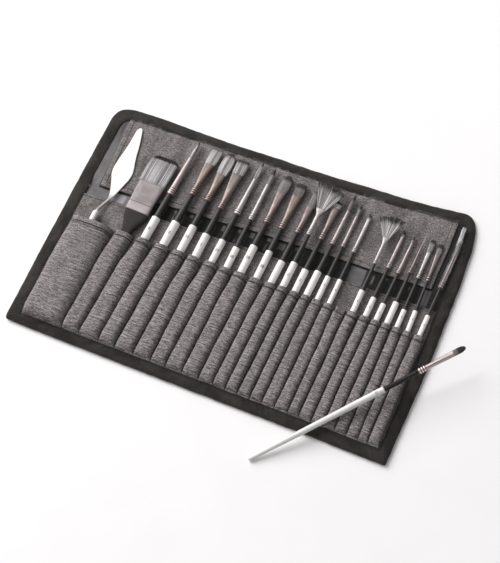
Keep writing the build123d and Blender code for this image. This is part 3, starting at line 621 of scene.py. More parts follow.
outer = soften(np.concatenate([resample(s, n)[:-1] for s, n in zip(outer_sides, side_counts)]), 1.3)
inner = soften(np.concatenate([resample(s, n)[:-1] for s, n in zip(inner_sides, side_counts)]), 0.9)
stations = len(outer)
outer_run = np.concatenate([[0], np.cumsum(np.linalg.norm(np.diff(outer, axis=0), axis=1))])
perimeter = outer_run[-1] + np.linalg.norm(outer[0] - outer[-1])
corners_at = np.cumsum([0] + [n - 1 for n in side_counts[:-1]])

outline_y = {}


def edge_x(y, right):
    """x of the case's outer edge at height y, on the left or the right."""
    y = np.asarray(y, float)
    cut = corners_at
    part = outer[cut[1]:cut[2]] if right else outer[cut[3]:][::-1]
    order = np.argsort(part[:, 1])
    return np.interp(y, part[order, 1], part[order, 0])


def window_top(x):
    part = inner[corners_at[2]:corners_at[3]]
    order = np.argsort(part[:, 0])
    return np.interp(x, part[order, 0], part[order, 1])


# ---------------------------------------------------------------- case: cover, pad and lining
def case_grid(left_in, right_in, low, high, nx, ny):
    """x and y of a grid that follows the outline, so far inside it."""
    v = (np.linspace(low, high, ny) if np.isscalar(ny) else ny)[:, None]
    u, ny = np.linspace(0, 1, nx)[None, :], len(v)
    left, right = edge_x(v, False) + left_in, edge_x(v, True) - right_in
    return left + (right - left) * u, np.broadcast_to(v, (ny, nx)).copy()


case_pieces = []

x, y = case_grid(3.5, 3.5, -178.0, 169.0, 90, 60)
z = 1.95 + 0.10 * fbm(x / 70, y / 60, 3)
cover = cloth_sheet("canvas_cover", np.stack([x, y, z], -1), 0.95, plan_uv(np.stack([x, y, z], -1)),
                    canvas)
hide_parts("outer_cover")

x, y = case_grid(5.0, 5.0, -176.5, 167.5, 110, 76)
edge = np.minimum(np.minimum(x - edge_x(y, False), edge_x(y, True) - x),
                  np.minimum(y + 182.0, 174.0 - y))
crown = smooth(0.0, 16.0, edge)
band = smooth(20.0, 33.0, y) * (1 - smooth(50.0, 62.0, y))
z = 3.2 + 0.95 * crown + 0.12 * fbm(x / 40, y / 40, 5) - 1.35 * band
pad_top = np.stack([x, y, z], -1)
pad = cloth_sheet("foam_pad", pad_top, 0.75 + 1.25 * crown - 1.20 * band, plan_uv(pad_top), foam)
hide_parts("stiffening_pad")

x, y = case_grid(6.0, 6.0, -177.0, 167.0, 560, np.concatenate([
    np.linspace(-177, 24, 70), np.linspace(26, 66, 70), np.linspace(69, 167, 50)]))
band = smooth(22.0, 36.0, y) * (1 - smooth(46.0, 60.0, y))
left_strip = 1 - smooth(-246.0, -238.0, x)
wrinkle = (0.45 * fbm(x / 26, y / 14, 11) + 0.18 * fbm(x / 7, y / 5, 12)
           + 0.35 * left_strip * noise(x / 5, y / 22, 13))
crossing = np.exp(-((y - 44 - 2.5 * noise(x / 30, 0 * x, 14)) / 1.6) ** 2)
z = 5.05 - 1.85 * band + 0.6 * band * wrinkle + 0.55 * left_strip * wrinkle + 0.4 * band * crossing
lining_top = np.stack([x, y, z], -1)
# The lining in the fold between flap and pockets is painted nearly black as shade, but for a few
# places painted as lit: left of the wash brush, by the empty sleeve, right of the last brush but one, and
# small ones.
flap_free = [(-240.9, 50.6), (-232.0, 50.4), (-130.0, 53.0), (-9.0, 56.4), (100.0, 58.2),
             (253.9, 58.4)]


def flap_edge(x):
    return np.interp(x, *np.array(flap_free).T) + 0.9 * noise(x / 45, 0 * x, 21)


# painted light: places in the fold left lit, some painted lighter than the cloth
painted_lit_place = np.maximum.reduce([
    1 - smooth(-152.0, -148.0, x), smooth(142.0, 144.0, x) * (1 - smooth(163.5, 165.5, x)),
    0.8 * smooth(244.0, 246.0, x) * (1 - smooth(254.0, 256.0, x))])
small = np.zeros_like(x)
for at_x, at_y, wide_, high_, slant_, bright in (
        (-120.2, 48.9, 1.9, 2.2, 0.0, 1.15), (-120.3, 40.0, 0.8, 6.5, 0.10, 1.05),
        (-95.6, 50.4, 2.6, 2.4, 0.0, 1.20), (-45.4, 48.4, 2.1, 4.2, 0.05, 1.25),
        (-24.0, 36.0, 1.6, 2.5, 0.0, 0.60), (-21.7, 52.8, 1.8, 3.4, 0.05, 1.10),
        (-3.0, 51.6, 3.1, 3.8, 0.05, 1.15), (22.4, 54.0, 2.8, 2.7, 0.0, 1.10),
        (20.6, 41.0, 1.2, 6.0, 0.10, 0.60), (42.2, 49.6, 4.9, 4.8, 0.08, 0.98),
        (63.6, 53.6, 2.4, 2.6, 0.0, 0.85), (176.0, 46.0, 1.5, 6.5, 0.03, 0.95),
        (194.0, 53.2, 2.0, 1.2, 0.0, 0.60), (225.9, 51.3, 1.2, 2.2, 0.0, 0.60)):
    aside = x - at_x - slant_ * (y - at_y)
    small = np.maximum(small, bright * np.exp(-np.maximum(
        np.abs(aside) / wide_, np.abs(y - at_y) / high_) ** 6))
painted_lit_place = np.maximum(painted_lit_place, small)
# painted shade over the fold, left out at the painted lit places
shade = 0.985 * smooth(28.0, 30.0, y) * (1 - smooth(60.0, 64.0, y)) * (1 - painted_lit_place)
# painted shade in a fold at the lining's top left corner
corner = smooth(-246.0, -252.0, x) * smooth(104.0, 140.0, y)
shade = np.maximum(shade, corner * (0.55 + 0.35 * noise(x / 3.5, y / 16, 15)))
# painted shade in the gap between the flap's right edge and the tape
shade = np.maximum(shade, 0.97 * smooth(254.0, 255.5, x) * smooth(30.0, 34.0, y))
# painted shadow under the flap's lower edge
shade = np.maximum(shade, 0.96 * smooth(-2.6, -1.6, y - flap_edge(x)) * (x > -244))
# painted light: a lit patch right of the palette knife's shank
shade = shade - 1.1 * (1 - smooth(-200.0, -196.0, x)) * smooth(-219.0, -216.5, x) * smooth(
    33.0, 36.0, y) * (1 - smooth(46.0, 48.5, y))
lining = cloth_sheet("lining_cloth", lining_top, 0.42, plan_uv(lining_top, shade), lining_cloth)
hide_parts("inner_lining")
case_pieces += [cover, pad, lining]


# ---------------------------------------------------------------- stitches
def stitches(name, lines, pitch, size, material, seed=1):
    """Short rounded stitches along polylines of (points, normals), in mm."""
    rng = np.random.default_rng(seed)
    ring = np.array([(cos(a), sin(a)) for a in np.arange(6) * pi / 3])
    points, quads, tris, cloth = [], [], [], []
    start = 0
    for line, normal in lines:
        line, normal = np.asarray(line, float), np.asarray(normal, float)
        along = np.concatenate([[0], np.cumsum(np.linalg.norm(np.diff(line, axis=0), axis=1))])
        count = int(along[-1] // pitch)
        if count < 2:
            continue
        middles = (np.arange(count) + 0.5) * along[-1] / count
        half = pitch * 0.39
        read = lambda at, table: np.stack([np.interp(at, along, table[:, k]) for k in range(3)], -1)
        a, b = read(middles - half, line), read(middles + half, line)
        n = read(middles, normal)
        run = b - a
        run /= np.maximum(np.linalg.norm(run, axis=1, keepdims=True), 1e-9)
        side = np.cross(run, n)
        side /= np.maximum(np.linalg.norm(side, axis=1, keepdims=True), 1e-9)
        n = np.cross(side, run)
        slant = side * rng.normal(0, 0.10, (count, 1))
        for share, wide, sink in ((0.0, 0.35, -0.55), (0.14, 0.85, 0.0), (0.5, 1.0, 0.22),
                                  (0.86, 0.85, 0.0), (1.0, 0.35, -0.55)):
            centre = a + (b - a) * share + n * (sink * size) + slant * (share - 0.5) * 2
            for c, s in ring:
                points.append(centre + (side * c + n * s * 0.8) * size * wide)
        block = np.arange(count)[None, :] + start
        stride = count
        ids = np.arange(30)[:, None] * stride + block      # 5 rings of 6, each count long
        for r in range(4):
            for k in range(6):
                k2 = (k + 1) % 6
                quads.append(np.stack([ids[r * 6 + k], ids[r * 6 + k2],
                                       ids[(r + 1) * 6 + k2], ids[(r + 1) * 6 + k]], -1))
        for k in range(1, 5):
            tris.append(np.stack([ids[0], ids[k + 1], ids[k]], -1))
            tris.append(np.stack([ids[24], ids[24 + k], ids[24 + k + 1]], -1))
        start += 30 * count
        cloth.append(np.tile(middles, 30))
    points = np.concatenate(points)
    along = np.concatenate(cloth)
    attribute = np.stack([along, along * 0.0, along * 0.0], -1)
    obj = make_mesh(name, points, [np.concatenate(quads), np.concatenate(tris)], [material],
                    attributes={"cloth": attribute})
    return obj


# ---------------------------------------------------------------- flap under the brush heads
def flap_surface(u, v):
    """Upper side of the flap for shares u across and v from its free edge to the head end."""
    xb = -240.9 + (253.9 + 240.9) * u
    yb = flap_edge(xb)
    xt = -247.4 + (255.6 + 247.4) * u
    yt = window_top(xt) + 4.5
    x, y = xb + (xt - xb) * v, yb + (yt - yb) * v
    x = x + (1 - np.abs(2 * u - 1)) * 0 + 0.5 * noise(y / 30, u * 4, 23) * (np.abs(2 * u - 1) > 0.9)
    low = y - yb
    from_left, from_right = u * 495.0, (1 - u) * 495.0
    under_wash = smooth(-200.0, -192.0, x) * (1 - smooth(-144.0, -137.0, x))
    lift = np.exp(-low / 11.0) * (0.30 + 0.40 * noise(x / 38, 0 * x, 22))
    side_lift = 0.25 * (np.exp(-from_left / 9.0) + 0.9 * np.exp(-from_right / 7.0)) * (
        1 - smooth(0.75, 1.0, v))
    z = (7.10 - 1.05 * under_wash + lift + side_lift
         + 0.30 * fbm(x / 60, y / 34, 24) + 0.14 * fbm(x / 11, y / 9, 25)
         + 0.26 * noise(x / 8 + y / 90, y / 42, 26))
    # hem: folded double along the three free edges, with the groove of its stitching
    distance = np.minimum(low, np.minimum(from_left, from_right))
    z = z + 0.30 * (1 - smooth(6.2, 7.6, distance)) - 0.42 * np.exp(-((distance - 7.0) / 0.7) ** 2)
    z = z - 0.35 * np.exp(-distance / 0.6)
    under_knife = np.exp(-((x + 224.7) / 5.0) ** 2) * (1 - smooth(98.0, 112.0, y))
    z = np.minimum(z, 7.75 - 1.35 * under_wash - 1.13 * under_knife)
    z = z - 0.75 * smooth(0.90, 1.0, v)
    return np.stack([x, y, z], -1)


# Painted shade on the flap: along the stitched groove of its hem, and a painted shadow at the head end under
# the tape's raised inner edge.
def flap_shade(u, v):
    distance = np.minimum(v * 108.0, np.minimum(u, 1 - u) * 495.0)
    return np.maximum(0.75 * np.exp(-((distance - 7.0) / 0.5) ** 2),
                      0.80 * smooth(0.945, 0.975, v))


u, v = np.meshgrid(np.concatenate([np.linspace(0, 0.02, 12), np.linspace(0.024, 0.976, 330),
                                   np.linspace(0.98, 1, 12)]),
                   np.concatenate([np.linspace(0, 0.09, 14), np.linspace(0.1, 1, 86)]))
flap_top = flap_surface(u, v)
flap = cloth_sheet("flap_cloth", flap_top, 0.62, plan_uv(flap_top, flap_shade(u, v)), canvas_flap)
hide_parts("bristle_flap")


def surface_line(function, u, v, lift):
    points = function(u[None, :], v[None, :])[0]
    normal = np.zeros_like(points)
    normal[:, 2] = 1
    return points + normal * lift, normal


t = np.linspace(0, 1, 400)
hem_v = 7.0 / 108.0
flap_lines = [
    surface_line(flap_surface, 0.0141 + t * 0.9718, np.full(400, hem_v), 0.10),
    surface_line(flap_surface, np.full(400, 0.0141), hem_v + t * (0.97 - hem_v), 0.10),
    surface_line(flap_surface, np.full(400, 0.9859), hem_v + t * (0.97 - hem_v), 0.10),
]
flap_thread = stitches("flap_stitches", flap_lines, 3.0, 0.26, thread_grey, 2)
case_pieces += [flap, flap_thread]


# ---------------------------------------------------------------- backing of the pockets
def backing_surface(u, v):
    x = -263.5 + (274.5 + 263.5) * u
    top = 31.0 + 0.7 * noise(x / 60, 0 * x, 31) + 0.25 * noise(x / 14, 0 * x, 32)
    y = -40.0 + (top + 40.0) * v
    low = top - y
    lift = np.exp(-low / 6.0) * (0.55 + 0.45 * noise(x / 26, 0 * x, 33))
    z = 6.02 + np.maximum(lift, 0) * 0.55 + 0.10 * fbm(x / 18, y / 12, 34)
    z = z + 0.16 * (1 - smooth(2.2, 3.2, low)) - 0.30 * np.exp(-((low - 2.6) / 0.5) ** 2)
    edge = np.minimum(x + 263.5, 274.5 - x)
    z = z - 0.75 * (1 - smooth(0.0, 9.0, edge))
    return np.stack([x, y, z], -1)


u, v = np.meshgrid(np.linspace(0, 1, 420), np.concatenate([np.linspace(0, 0.88, 40),
                                                           np.linspace(0.885, 1, 20)]))
backing_top = backing_surface(u, v)
# painted shade along the stitched groove 2.6 mm below the top edge; from x ≈ 124 mm rightward the backing is
# also a little darker
backing = cloth_sheet("backing_cloth", backing_top, 0.60, plan_uv(
    backing_top, 0.7 * np.exp(-(((1 - v) * 71.0 - 2.6) / 0.45) ** 2)
    + 0.16 * smooth(0.72, 0.76, u)), canvas_flap)
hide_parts("pocket_backing")
backing_line = surface_line(backing_surface, 0.012 + t * 0.976, np.full(400, 1 - 2.6 / 71.0), 0.10)
backing_thread = stitches("backing_stitches", [backing_line], 2.6, 0.24, thread_grey, 3)
case_pieces += [backing, backing_thread]


# ---------------------------------------------------------------- pocket cloth over the tools
def mouth_height(number, radius):
    return TOOL_Z0 + radius + FAN_LIFT.get(number, 0.3)


def sleeve_tool(number):
    """(x, z, radius) of what lies in a sleeve, at its mouth and at its end."""
    if number == 17:
        return None
    if number == 1:
        return (KNIFE_X, KNIFE_Z, 6.9), (KNIFE_X, KNIFE_Z, 6.9)
    if number == 2:
        return (WASH_X, WASH_Z, 6.2), (WASH_X - 149 * tan(radians(WASH_YAW)), WASH_Z, 4.4)
    spec = next(b for b in BRUSHES if b[0] == number)
    kind, x, lean, radius = spec[1:5]
    z = mouth_height(number, radius)
    tilt = FAN_TILT if kind == "fan" else TILT
    return (x, z, radius), (x - 149 * tan(radians(lean)), z - 149 * tan(radians(tilt)),
                            TAIL_RADIUS + 0.5)


def arch(left, right, peak, height, half_width, count, power=3.9, root=2.3):
    """Points (x, z above the seam) across one sleeve, evenly along the cloth."""
    x = (1 - np.cos(np.linspace(0, pi, 400))) / 2 * (right - left) + left
    if half_width is None:
        v = np.where(x < peak, (peak - x) / (peak - left - 0.8), (x - peak) / (right - peak - 0.8))
    else:
        v = np.abs(x - peak) / half_width
    z = height * (1 - np.clip(v, 0, 1) ** power) ** (1 / root)
    return resample(np.stack([x, z], -1), count)


COLS = 20           # steps across one sleeve
ROWS = 210          # steps along it
rows_v = np.concatenate([np.linspace(0, 0.07, 20), np.linspace(0.074, 0.9, 140),
                         np.linspace(0.905, 1.0, 50)])
rows_y = MOUTH_Y + (END_Y - 3.6 - MOUTH_Y) * rows_v
share_of = (rows_y - MOUTH_Y) / (END_Y - MOUTH_Y)
round_off = np.sqrt(np.clip(1 - (1 - np.clip((rows_y - (END_Y + 0.6)) / 11.0, 0, 1)) ** 2.2, 0, 1))
narrow = 1 - smooth(6.0, 52.0, MOUTH_Y - rows_y)      # mouths hug their handles
pocket_columns, cloth_u, sleeve_of = [], [], []
run_u = 0.0
rng = np.random.default_rng(77)
for sleeve in range(1, 25):
    l0, r0 = SEAMS_MOUTH[sleeve - 1], SEAMS_MOUTH[sleeve]
    l1, r1 = SEAMS_END[sleeve - 1], SEAMS_END[sleeve]
    tool = sleeve_tool(sleeve)
    if tool is None:
        h0, h1 = 10.6 - CLOTH, 9.8
        p0, p1 = (l0 + r0) / 2, (l1 + r1) / 2
        hug = None
    else:
        (x0, z0, t0), (x1, z1, t1) = tool
        h0 = z0 + t0 + 0.5 + CLOTH - SEW_Z - CLOTH
        h1 = max(z1 + t1 + 0.5 - SEW_Z, 0.80 * h0)
        p0, p1 = x0, x1
        hug = min(t0 + 4.3, (r0 - l0) / 2 - 1.1)
    if sleeve == 1:
        h0, h1, p0, p1, hug = 15.6, 14.6, (l0 + r0) / 2, (l1 + r1) / 2, 31.5
    if sleeve == 2:
        hug = 13.0
    limit = lambda p, l, r: min(max(p, (l + r) / 2 - 0.25 * (r - l) / 2),
                                (l + r) / 2 + 0.25 * (r - l) / 2)
    full0 = arch(l0, r0, limit(p0, l0, r0), h0, None, COLS + 1)
    full1 = arch(l1, r1, limit(p1, l1, r1), h1, None, COLS + 1)
    snug = full0 if hug is None else arch(l0, r0, min(max(p0, l0 + hug + 0.4), r0 - hug - 0.4),
                                          h0, hug, COLS + 1, 3.0, 2.1)
    span = np.concatenate([[0], np.cumsum(np.linalg.norm(np.diff(full0, axis=0), axis=1))])
    s = np.clip(share_of, 0, 1.03)[:, None]
    w = narrow[:, None]
    near = full0[None] * (1 - w[..., None]) + snug[None] * w[..., None]
    far = full1[None]
    blend = (0.15 * smooth(0, 1, s) + 0.85 * s)[..., None]
    # x follows the straight seams, z the height
    xs = near[..., 0] + (full1[None, :, 0] - full0[None, :, 0]) * s
    zs = near[..., 1] * (1 - blend[..., 0]) + far[..., 1] * blend[..., 0]
    across = np.linspace(0, 1, COLS + 1)[None, :]
    body = np.sin(pi * across)                       # 0 at the seams, 1 on the crown
    width = (r0 - l0)
    length = (MOUTH_Y - rows_y)[:, None]
    # the seams wander a little and the tubes breathe
    wobble = 0.55 * noise(length / 27, np.full_like(length, sleeve * 1.7), 41)
    swell = 1 + 0.045 * noise(length / 30, np.full_like(length, sleeve * 2.3), 42)
    slack = 0.0 if sleeve != 17 else 1.0
    zs = zs * swell * round_off[:, None]
    if slack:
        dent = np.exp(-((length - 2) / 16) ** 2) * np.exp(-((across - 0.60) / 0.16) ** 2)
        zs = zs - 3.6 * dent + 1.2 * noise(across * 3, length / 14, 43) * body * 0.6
    # cross creases: narrow folds that run round the tube
    crease = np.zeros((len(rows_v), COLS + 1))
    count = 18 if sleeve > 1 else 16
    for _ in range(count):
        at = rng.uniform(10, 152)
        lean_ = rng.normal(0, 0.10) * width
        middle_ = rng.uniform(0.25, 0.85)
        reach_ = rng.uniform(0.16, 0.42)
        size_ = rng.uniform(0.6, 1.2)
        deep = rng.uniform(0.35, 0.95) * (1.3 if sleeve == 1 else 1.0)
        d = (length - at - lean_ * (across - 0.5)) / size_
        crease += deep * (-np.exp(-d**2) + 0.55 * np.exp(-((d - 1.7) / 1.1) ** 2)) * np.exp(
            -((across - middle_) / reach_) ** 2)
    for _ in range(26):                              # puckers beside the seams
        at = rng.uniform(4, 156)
        left_side = rng.random() < 0.5
        middle_ = 0.10 if left_side else 0.88
        size_ = rng.uniform(0.9, 2.2)
        d = (length - at) / size_
        crease += rng.uniform(0.15, 0.5) * (-np.exp(-d**2) + 0.5 * np.exp(-((d + 1.6)) ** 2)) * \
            np.exp(-((across - middle_) / 0.12) ** 2)
    broad = 0.50 * fbm(across * width / 17 + sleeve * 7, length / 20, 44) + 0.22 * fbm(
        across * width / 6 + sleeve * 9, length / 5.0, 45)
    calm = 0.35 + 0.65 * smooth(2, 14, length)
    lump = (crease + broad) * body**0.6 * calm * round_off[:, None]
    # hem at the mouth: turned in double, with a stitched groove at 8 mm
    hem = 0.80 * (1 - smooth(6.6, 7.8, length)) - 1.05 * np.exp(-((length - 8.4) / 0.85) ** 2)
    hem = hem * body**0.4
    zs = zs + 0.10 * body
    xs = xs + wobble * (1 - 0.6 * np.exp(-length / 10))
    ys = rows_y[:, None] + 0 * across + (-1.3 + 0.45 * noise(
        across * 1.3 + sleeve * 3, 0 * across, 46)) * np.exp(-length / 9)
    if slack:
        ys = ys + (-1.6 * np.exp(-((across - 0.62) / 0.18) ** 2)
                   + 0.8 * np.exp(-((across - 0.25) / 0.15) ** 2)) * np.exp(-length / 8)
    tuck = np.clip((END_Y + 1.2 - rows_y) / 4.8, 0, 1)[:, None]
    zs = SEW_Z + CLOTH + zs - 1.9 * tuck
    top = np.stack([xs, ys + 0 * xs, zs], -1)
    n = normals_of(top)
    top = top + n * (lump + hem)[..., None]
    take = slice(0, COLS) if sleeve < 24 else slice(0, COLS + 1)
    pocket_columns.append(top[:, take])
    cloth_u.append(run_u + span[take])
    sleeve_of.append(np.full(span[take].shape, sleeve))
    run_u += span[-1]

pocket_top = np.concatenate(pocket_columns, axis=1)[::-1]       # rows from the end to the mouth
columns_u = np.concatenate(cloth_u)
pocket_length = (MOUTH_Y - rows_y)[::-1]
seam_gap = np.min(np.abs(np.arange(len(columns_u))[:, None] - np.arange(0, 24 * COLS + 1, COLS)), 1)
# Painted shade: in the stitched groove under each hem, along a second stitch line on the wide sleeve, where
# the cloth tucks under the tape, and in the valleys beside the seams. A painted highlight lightens the top
# edge of each cuff.
groove = (0.96 * np.exp(-((pocket_length - 8.5) / 0.90) ** 2)
          - 0.45 * np.exp(-((pocket_length - 0.4) / 0.9) ** 2))
first = (np.arange(len(columns_u)) < COLS)[None, :] * 0.75 * np.exp(
    -((pocket_length[:, None] - 11.6) / 0.5) ** 2)
tucked = 0.85 * smooth(END_Y - 0.2, END_Y - 2.0, MOUTH_Y - pocket_length)
shade = np.maximum.reduce([groove[:, None] + 0 * columns_u[None, :], first,
                           tucked[:, None] + 0 * columns_u[None, :],
                           np.clip(0.85 - 0.45 * seam_gap, 0, 1)[None, :] + 0 * groove[:, None]])
cloth = np.stack(np.broadcast_arrays(columns_u[None, :], -pocket_length[:, None], shade), -1)
# average the shared column at each seam so that both tubes meet in one line
seam_columns = [k * COLS for k in range(1, 24)]
for k in seam_columns:
    valley = 0.5 * (pocket_top[:, k - 1] + pocket_top[:, k + 1])
    pocket_top[:, k, 0] = 0.35 * pocket_top[:, k, 0] + 0.65 * valley[:, 0]
    pocket_top[:, k, 2] = np.minimum(pocket_top[:, k, 2], SEW_Z + CLOTH + 0.1)
thick = np.where(pocket_length < 8.0, 1.15, 0.72)[:, None] + 0 * columns_u[None, :]
pockets = cloth_sheet("pocket_cloth", pocket_top, thick, cloth, canvas)
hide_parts("pocket_front")

pocket_normals = normals_of(pocket_top)
lines = []
row_8 = int(np.argmin(np.abs(pocket_length - 8.2)))
lines.append((pocket_top[row_8] + pocket_normals[row_8] * 0.12, pocket_normals[row_8]))
row_12 = int(np.argmin(np.abs(pocket_length - 11.6)))
lines.append((pocket_top[row_12, 1:COLS] + pocket_normals[row_12, 1:COLS] * 0.12,
              pocket_normals[row_12, 1:COLS]))
up = np.zeros((len(pocket_top), 3)); up[:, 2] = 1
for k in [1] + seam_columns + [pocket_top.shape[1] - 2]:
    keep = pocket_length < 156
    lines.append(((pocket_top[:, k] + up * 0.10)[keep], up[keep]))
pocket_thread = stitches("pocket_stitches", lines, 2.8, 0.25, thread_grey, 4)
case_pieces += [pockets, pocket_thread]

# ---------------------------------------------------------------- tape folded round the edge
width = np.linalg.norm(inner - outer, axis=1)
direction = (inner - outer) / width[:, None]
at_corner = np.zeros(stations)
for c in corners_at:
    gap = np.minimum(np.abs(np.arange(stations) - c), stations - np.abs(np.arange(stations) - c))
    at_corner = np.maximum(at_corner, np.exp(-(gap / 5.0) ** 2))
# section from the inner top edge over the outside to the inner edge underneath:
# (share of the width, mm from the outer edge, height)
SECTION = [
    (1.0, 0.2, 5.70), (1.0, 0.0, 6.10), (1.0, -0.6, 6.38), (1.0, -1.6, 6.42), (1.0, -2.3, 6.22),
    (1.0, -3.0, 6.34), (1.0, -4.2, 6.55), (0.62, 0.0, 6.66), (0.48, 0.0, 6.60), (0.34, 0.0, 6.42),
    (0.22, 0.0, 6.12), (0.0, 2.2, 5.62), (0.0, 1.05, 4.85), (0.0, 0.35, 3.95), (0.0, 0.0, 3.0),
    (0.0, 0.2, 1.9), (0.0, 0.9, 0.95), (0.0, 2.1, 0.35), (0.0, 3.8, 0.08), (0.3, 0.0, 0.0),
    (0.45, 0.0, 0.02), (0.6, 0.0, 0.0), (1.0, -3.2, 0.02), (1.0, -2.3, 0.22), (1.0, -1.4, 0.02),
    (1.0, 0.0, 0.10),
]
fold = np.array(SECTION)
d = fold[None, :, 0] * width[:, None] + fold[None, :, 1]
zz = np.broadcast_to(fold[None, :, 2], d.shape).copy()
s = np.concatenate([[0], np.cumsum(np.linalg.norm(np.diff(outer, axis=0), axis=1))])[:, None]
upper_side = np.clip((zz - 3.0) / 3.2, 0, 1)
pucker = (0.42 * noise(s / 3.6, d / 7, 51) + 0.44 * noise(s / 11, d / 10, 52)
          + 0.36 * noise(s / 34, d / 20, 53))
for k in range(26):                                      # small tucks across the tape
    at = np.random.default_rng(900 + k).uniform(0, perimeter)
    lean_ = np.random.default_rng(950 + k).normal(0, 0.35)
    size_ = np.random.default_rng(990 + k).uniform(0.9, 2.0)
    q = (s - at - lean_ * (d - 8)) / size_
    pucker += 0.45 * (-np.exp(-q**2) + 0.6 * np.exp(-((q - 1.8) / 1.2) ** 2))
zz = zz + pucker * upper_side * np.where(zz > 6.3, 0.8, 0.6)
zz = zz - 0.9 * at_corner[:, None] * upper_side * np.exp(-((d - 9) / 8) ** 2)
wave = 0.55 * noise(s / 24, 0 * s, 54) + 0.28 * noise(s / 7, 0 * s, 55)
side_push = np.exp(-((zz - 3.0) / 2.4) ** 2) * (0.35 * noise(s / 9, 0 * s + 3, 56))
d = d + wave * np.clip((d / np.maximum(width[:, None], 1)), 0, 1) * upper_side + side_push
number = np.arange(stations)[:, None]
lap = np.where(number <= corners_at[1], smooth(263.0, 264.0, outer[:, :1]),
               1 - smooth(corners_at[1], corners_at[1] + 16, number))
zz = zz + 0.55 * lap * upper_side
tape_x, tape_y = (outer[:, k:k + 1] + direction[:, k:k + 1] * d for k in range(2))
under_wash = (tape_y > 150) * smooth(-188.0, -184.0, tape_x) * (1 - smooth(-136.0, -132.0, tape_x))
zz = np.minimum(zz, 8.5 - 1.95 * under_wash)
tape_top = np.concatenate([outer[:, None, :] + direction[:, None, :] * d[..., None],
                           np.maximum(zz, 0.0)[..., None]], -1)
across_u = np.concatenate([[0], np.cumsum(np.linalg.norm(np.diff(fold[:, 1:], axis=0), axis=1))])
# painted shade in the stitched groove on top of the tape
stitched = 0.8 * np.exp(-((fold[:, 1] + 2.3) / 0.5) ** 2) * (fold[:, 0] == 1.0) * (fold[:, 2] > 3)
tape_cloth = np.stack([np.broadcast_to(s, d.shape), -d, np.broadcast_to(stitched, d.shape)], -1)
tape = cloth_sheet("edge_tape_cloth", tape_top, 0.62, tape_cloth, edge_tape, wrap_rows=True)
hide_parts("edge_binding")
tape_normals = normals_of(tape_top, True)
loop = lambda a: np.concatenate([a, a[:1]])
tape_thread = stitches("tape_stitches",
                       [(loop(tape_top[:, 4] + tape_normals[:, 4] * 0.10), loop(tape_normals[:, 4])),
                        (loop(tape_top[:, 23] - tape_normals[:, 23] * 0.16),
                         loop(tape_normals[:, 23]))],
                       3.2, 0.26, thread_black, 5)
case_pieces += [tape, tape_thread]


# ---------------------------------------------------------------- strap and its patches, underneath
def strip(name, x0, x1, material, node, corner=0.0, pile=0.0, seed=60):
    """Flat webbing or pile from x0 to x1, with rounded selvedges."""
    nx, ny = int((x1 - x0) / 1.2), 40
    u, v = np.meshgrid(np.linspace(0, 1, nx), np.linspace(-1, 1, ny))
    x = x0 + (x1 - x0) * u
    half = 19.0 * np.ones_like(x)
    if corner:
        near = np.minimum(x - x0, x1 - x) if corner > 0 else x1 - x
        c = abs(corner)
        half = half - c + np.sqrt(np.clip(c**2 - np.clip(c - near, 0, c) ** 2, 0, None))
    y = v * half
    edge = np.minimum((1 - np.abs(v)) * 19, np.minimum(x - x0, x1 - x))
    z = 0.84 - 0.22 * np.exp(-edge / 0.5) - pile * 0.12 * (noise(x / 0.9, y / 0.9, seed) + 1) * 0.5
    top = np.stack([x, y, z], -1)
    obj = cloth_sheet(name, top, (0.80 if not pile else 0.68) - 0.3 * np.exp(-edge / 0.5),
                      plan_uv(top), material)
    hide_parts(node)
    return obj


strap = strip("strap_web", -258.0, 12.0, strap_web, "closing_strap")
hook = strip("hook_patch", 12.05, 62.0, hook_pile, "strap_hook_patch", -6.0, 1.0)
pile = strip("loop_patch", 96.0, 176.0, loop_pile, "strap_loop_patch", 4.0, 1.0, 61)


def box_line(x0, x1, y0, y1, z):
    pts = resample([(x0, y0, z), (x1, y0, z), (x1, y1, z), (x0, y1, z), (x0, y0, z)], 300)
    n = np.zeros_like(pts); n[:, 2] = -1
    return pts, n


strap_thread = stitches("strap_stitches", [
    box_line(-256.0, -238.0, -16.5, 16.5, 0.16), box_line(14.5, 59.0, -16.5, 16.5, 0.16),
    box_line(98.5, 173.5, -16.5, 16.5, 0.16)], 3.0, 0.13, thread_black, 6)
case_pieces += [strap, hook, pile, strap_thread]

for piece in case_pieces:
    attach(piece, "case")


# ---------------------------------------------------------------- tools
class Along:
    """Directions of a tool whose axis passes through a point with a lean and a rise."""

    def __init__(self, point, yaw, tilt):
        yaw, tilt = radians(yaw), radians(tilt)
        self.origin = np.array(point, float)
        self.run = np.array([sin(yaw) * cos(tilt), cos(yaw) * cos(tilt), sin(tilt)])
        self.side = np.array([cos(yaw), -sin(yaw), 0.0])
        self.up = np.cross(self.side, self.run)

    def points(self, side, up, run):
        side, up, run = np.broadcast_arrays(side, up, run)
        return (self.origin + side[..., None] * self.side + up[..., None] * self.up
                + run[..., None] * self.run)


def rings(frame_, s, a, b, power=2.0, side=0.0, up=0.0, count=40, phase=0.0):
    """Rings of a superellipse a by b about points along a tool, as (rings, count, 3)."""
    s, a, b, power, side, up = (np.asarray(q, float) for q in (s, a, b, power, side, up))
    s, a, b, power, side, up = np.broadcast_arrays(s, a, b, power, side, up)
    angle = np.arange(count) * 2 * pi / count + phase
    c, n = np.cos(angle), np.sin(angle)
    e = 2.0 / power[:, None]
    x = side[:, None] + a[:, None] * np.sign(c) * np.abs(c) ** e
    z = up[:, None] + b[:, None] * np.sign(n) * np.abs(n) ** e
    return frame_.points(x, z, np.broadcast_to(s[:, None], x.shape))


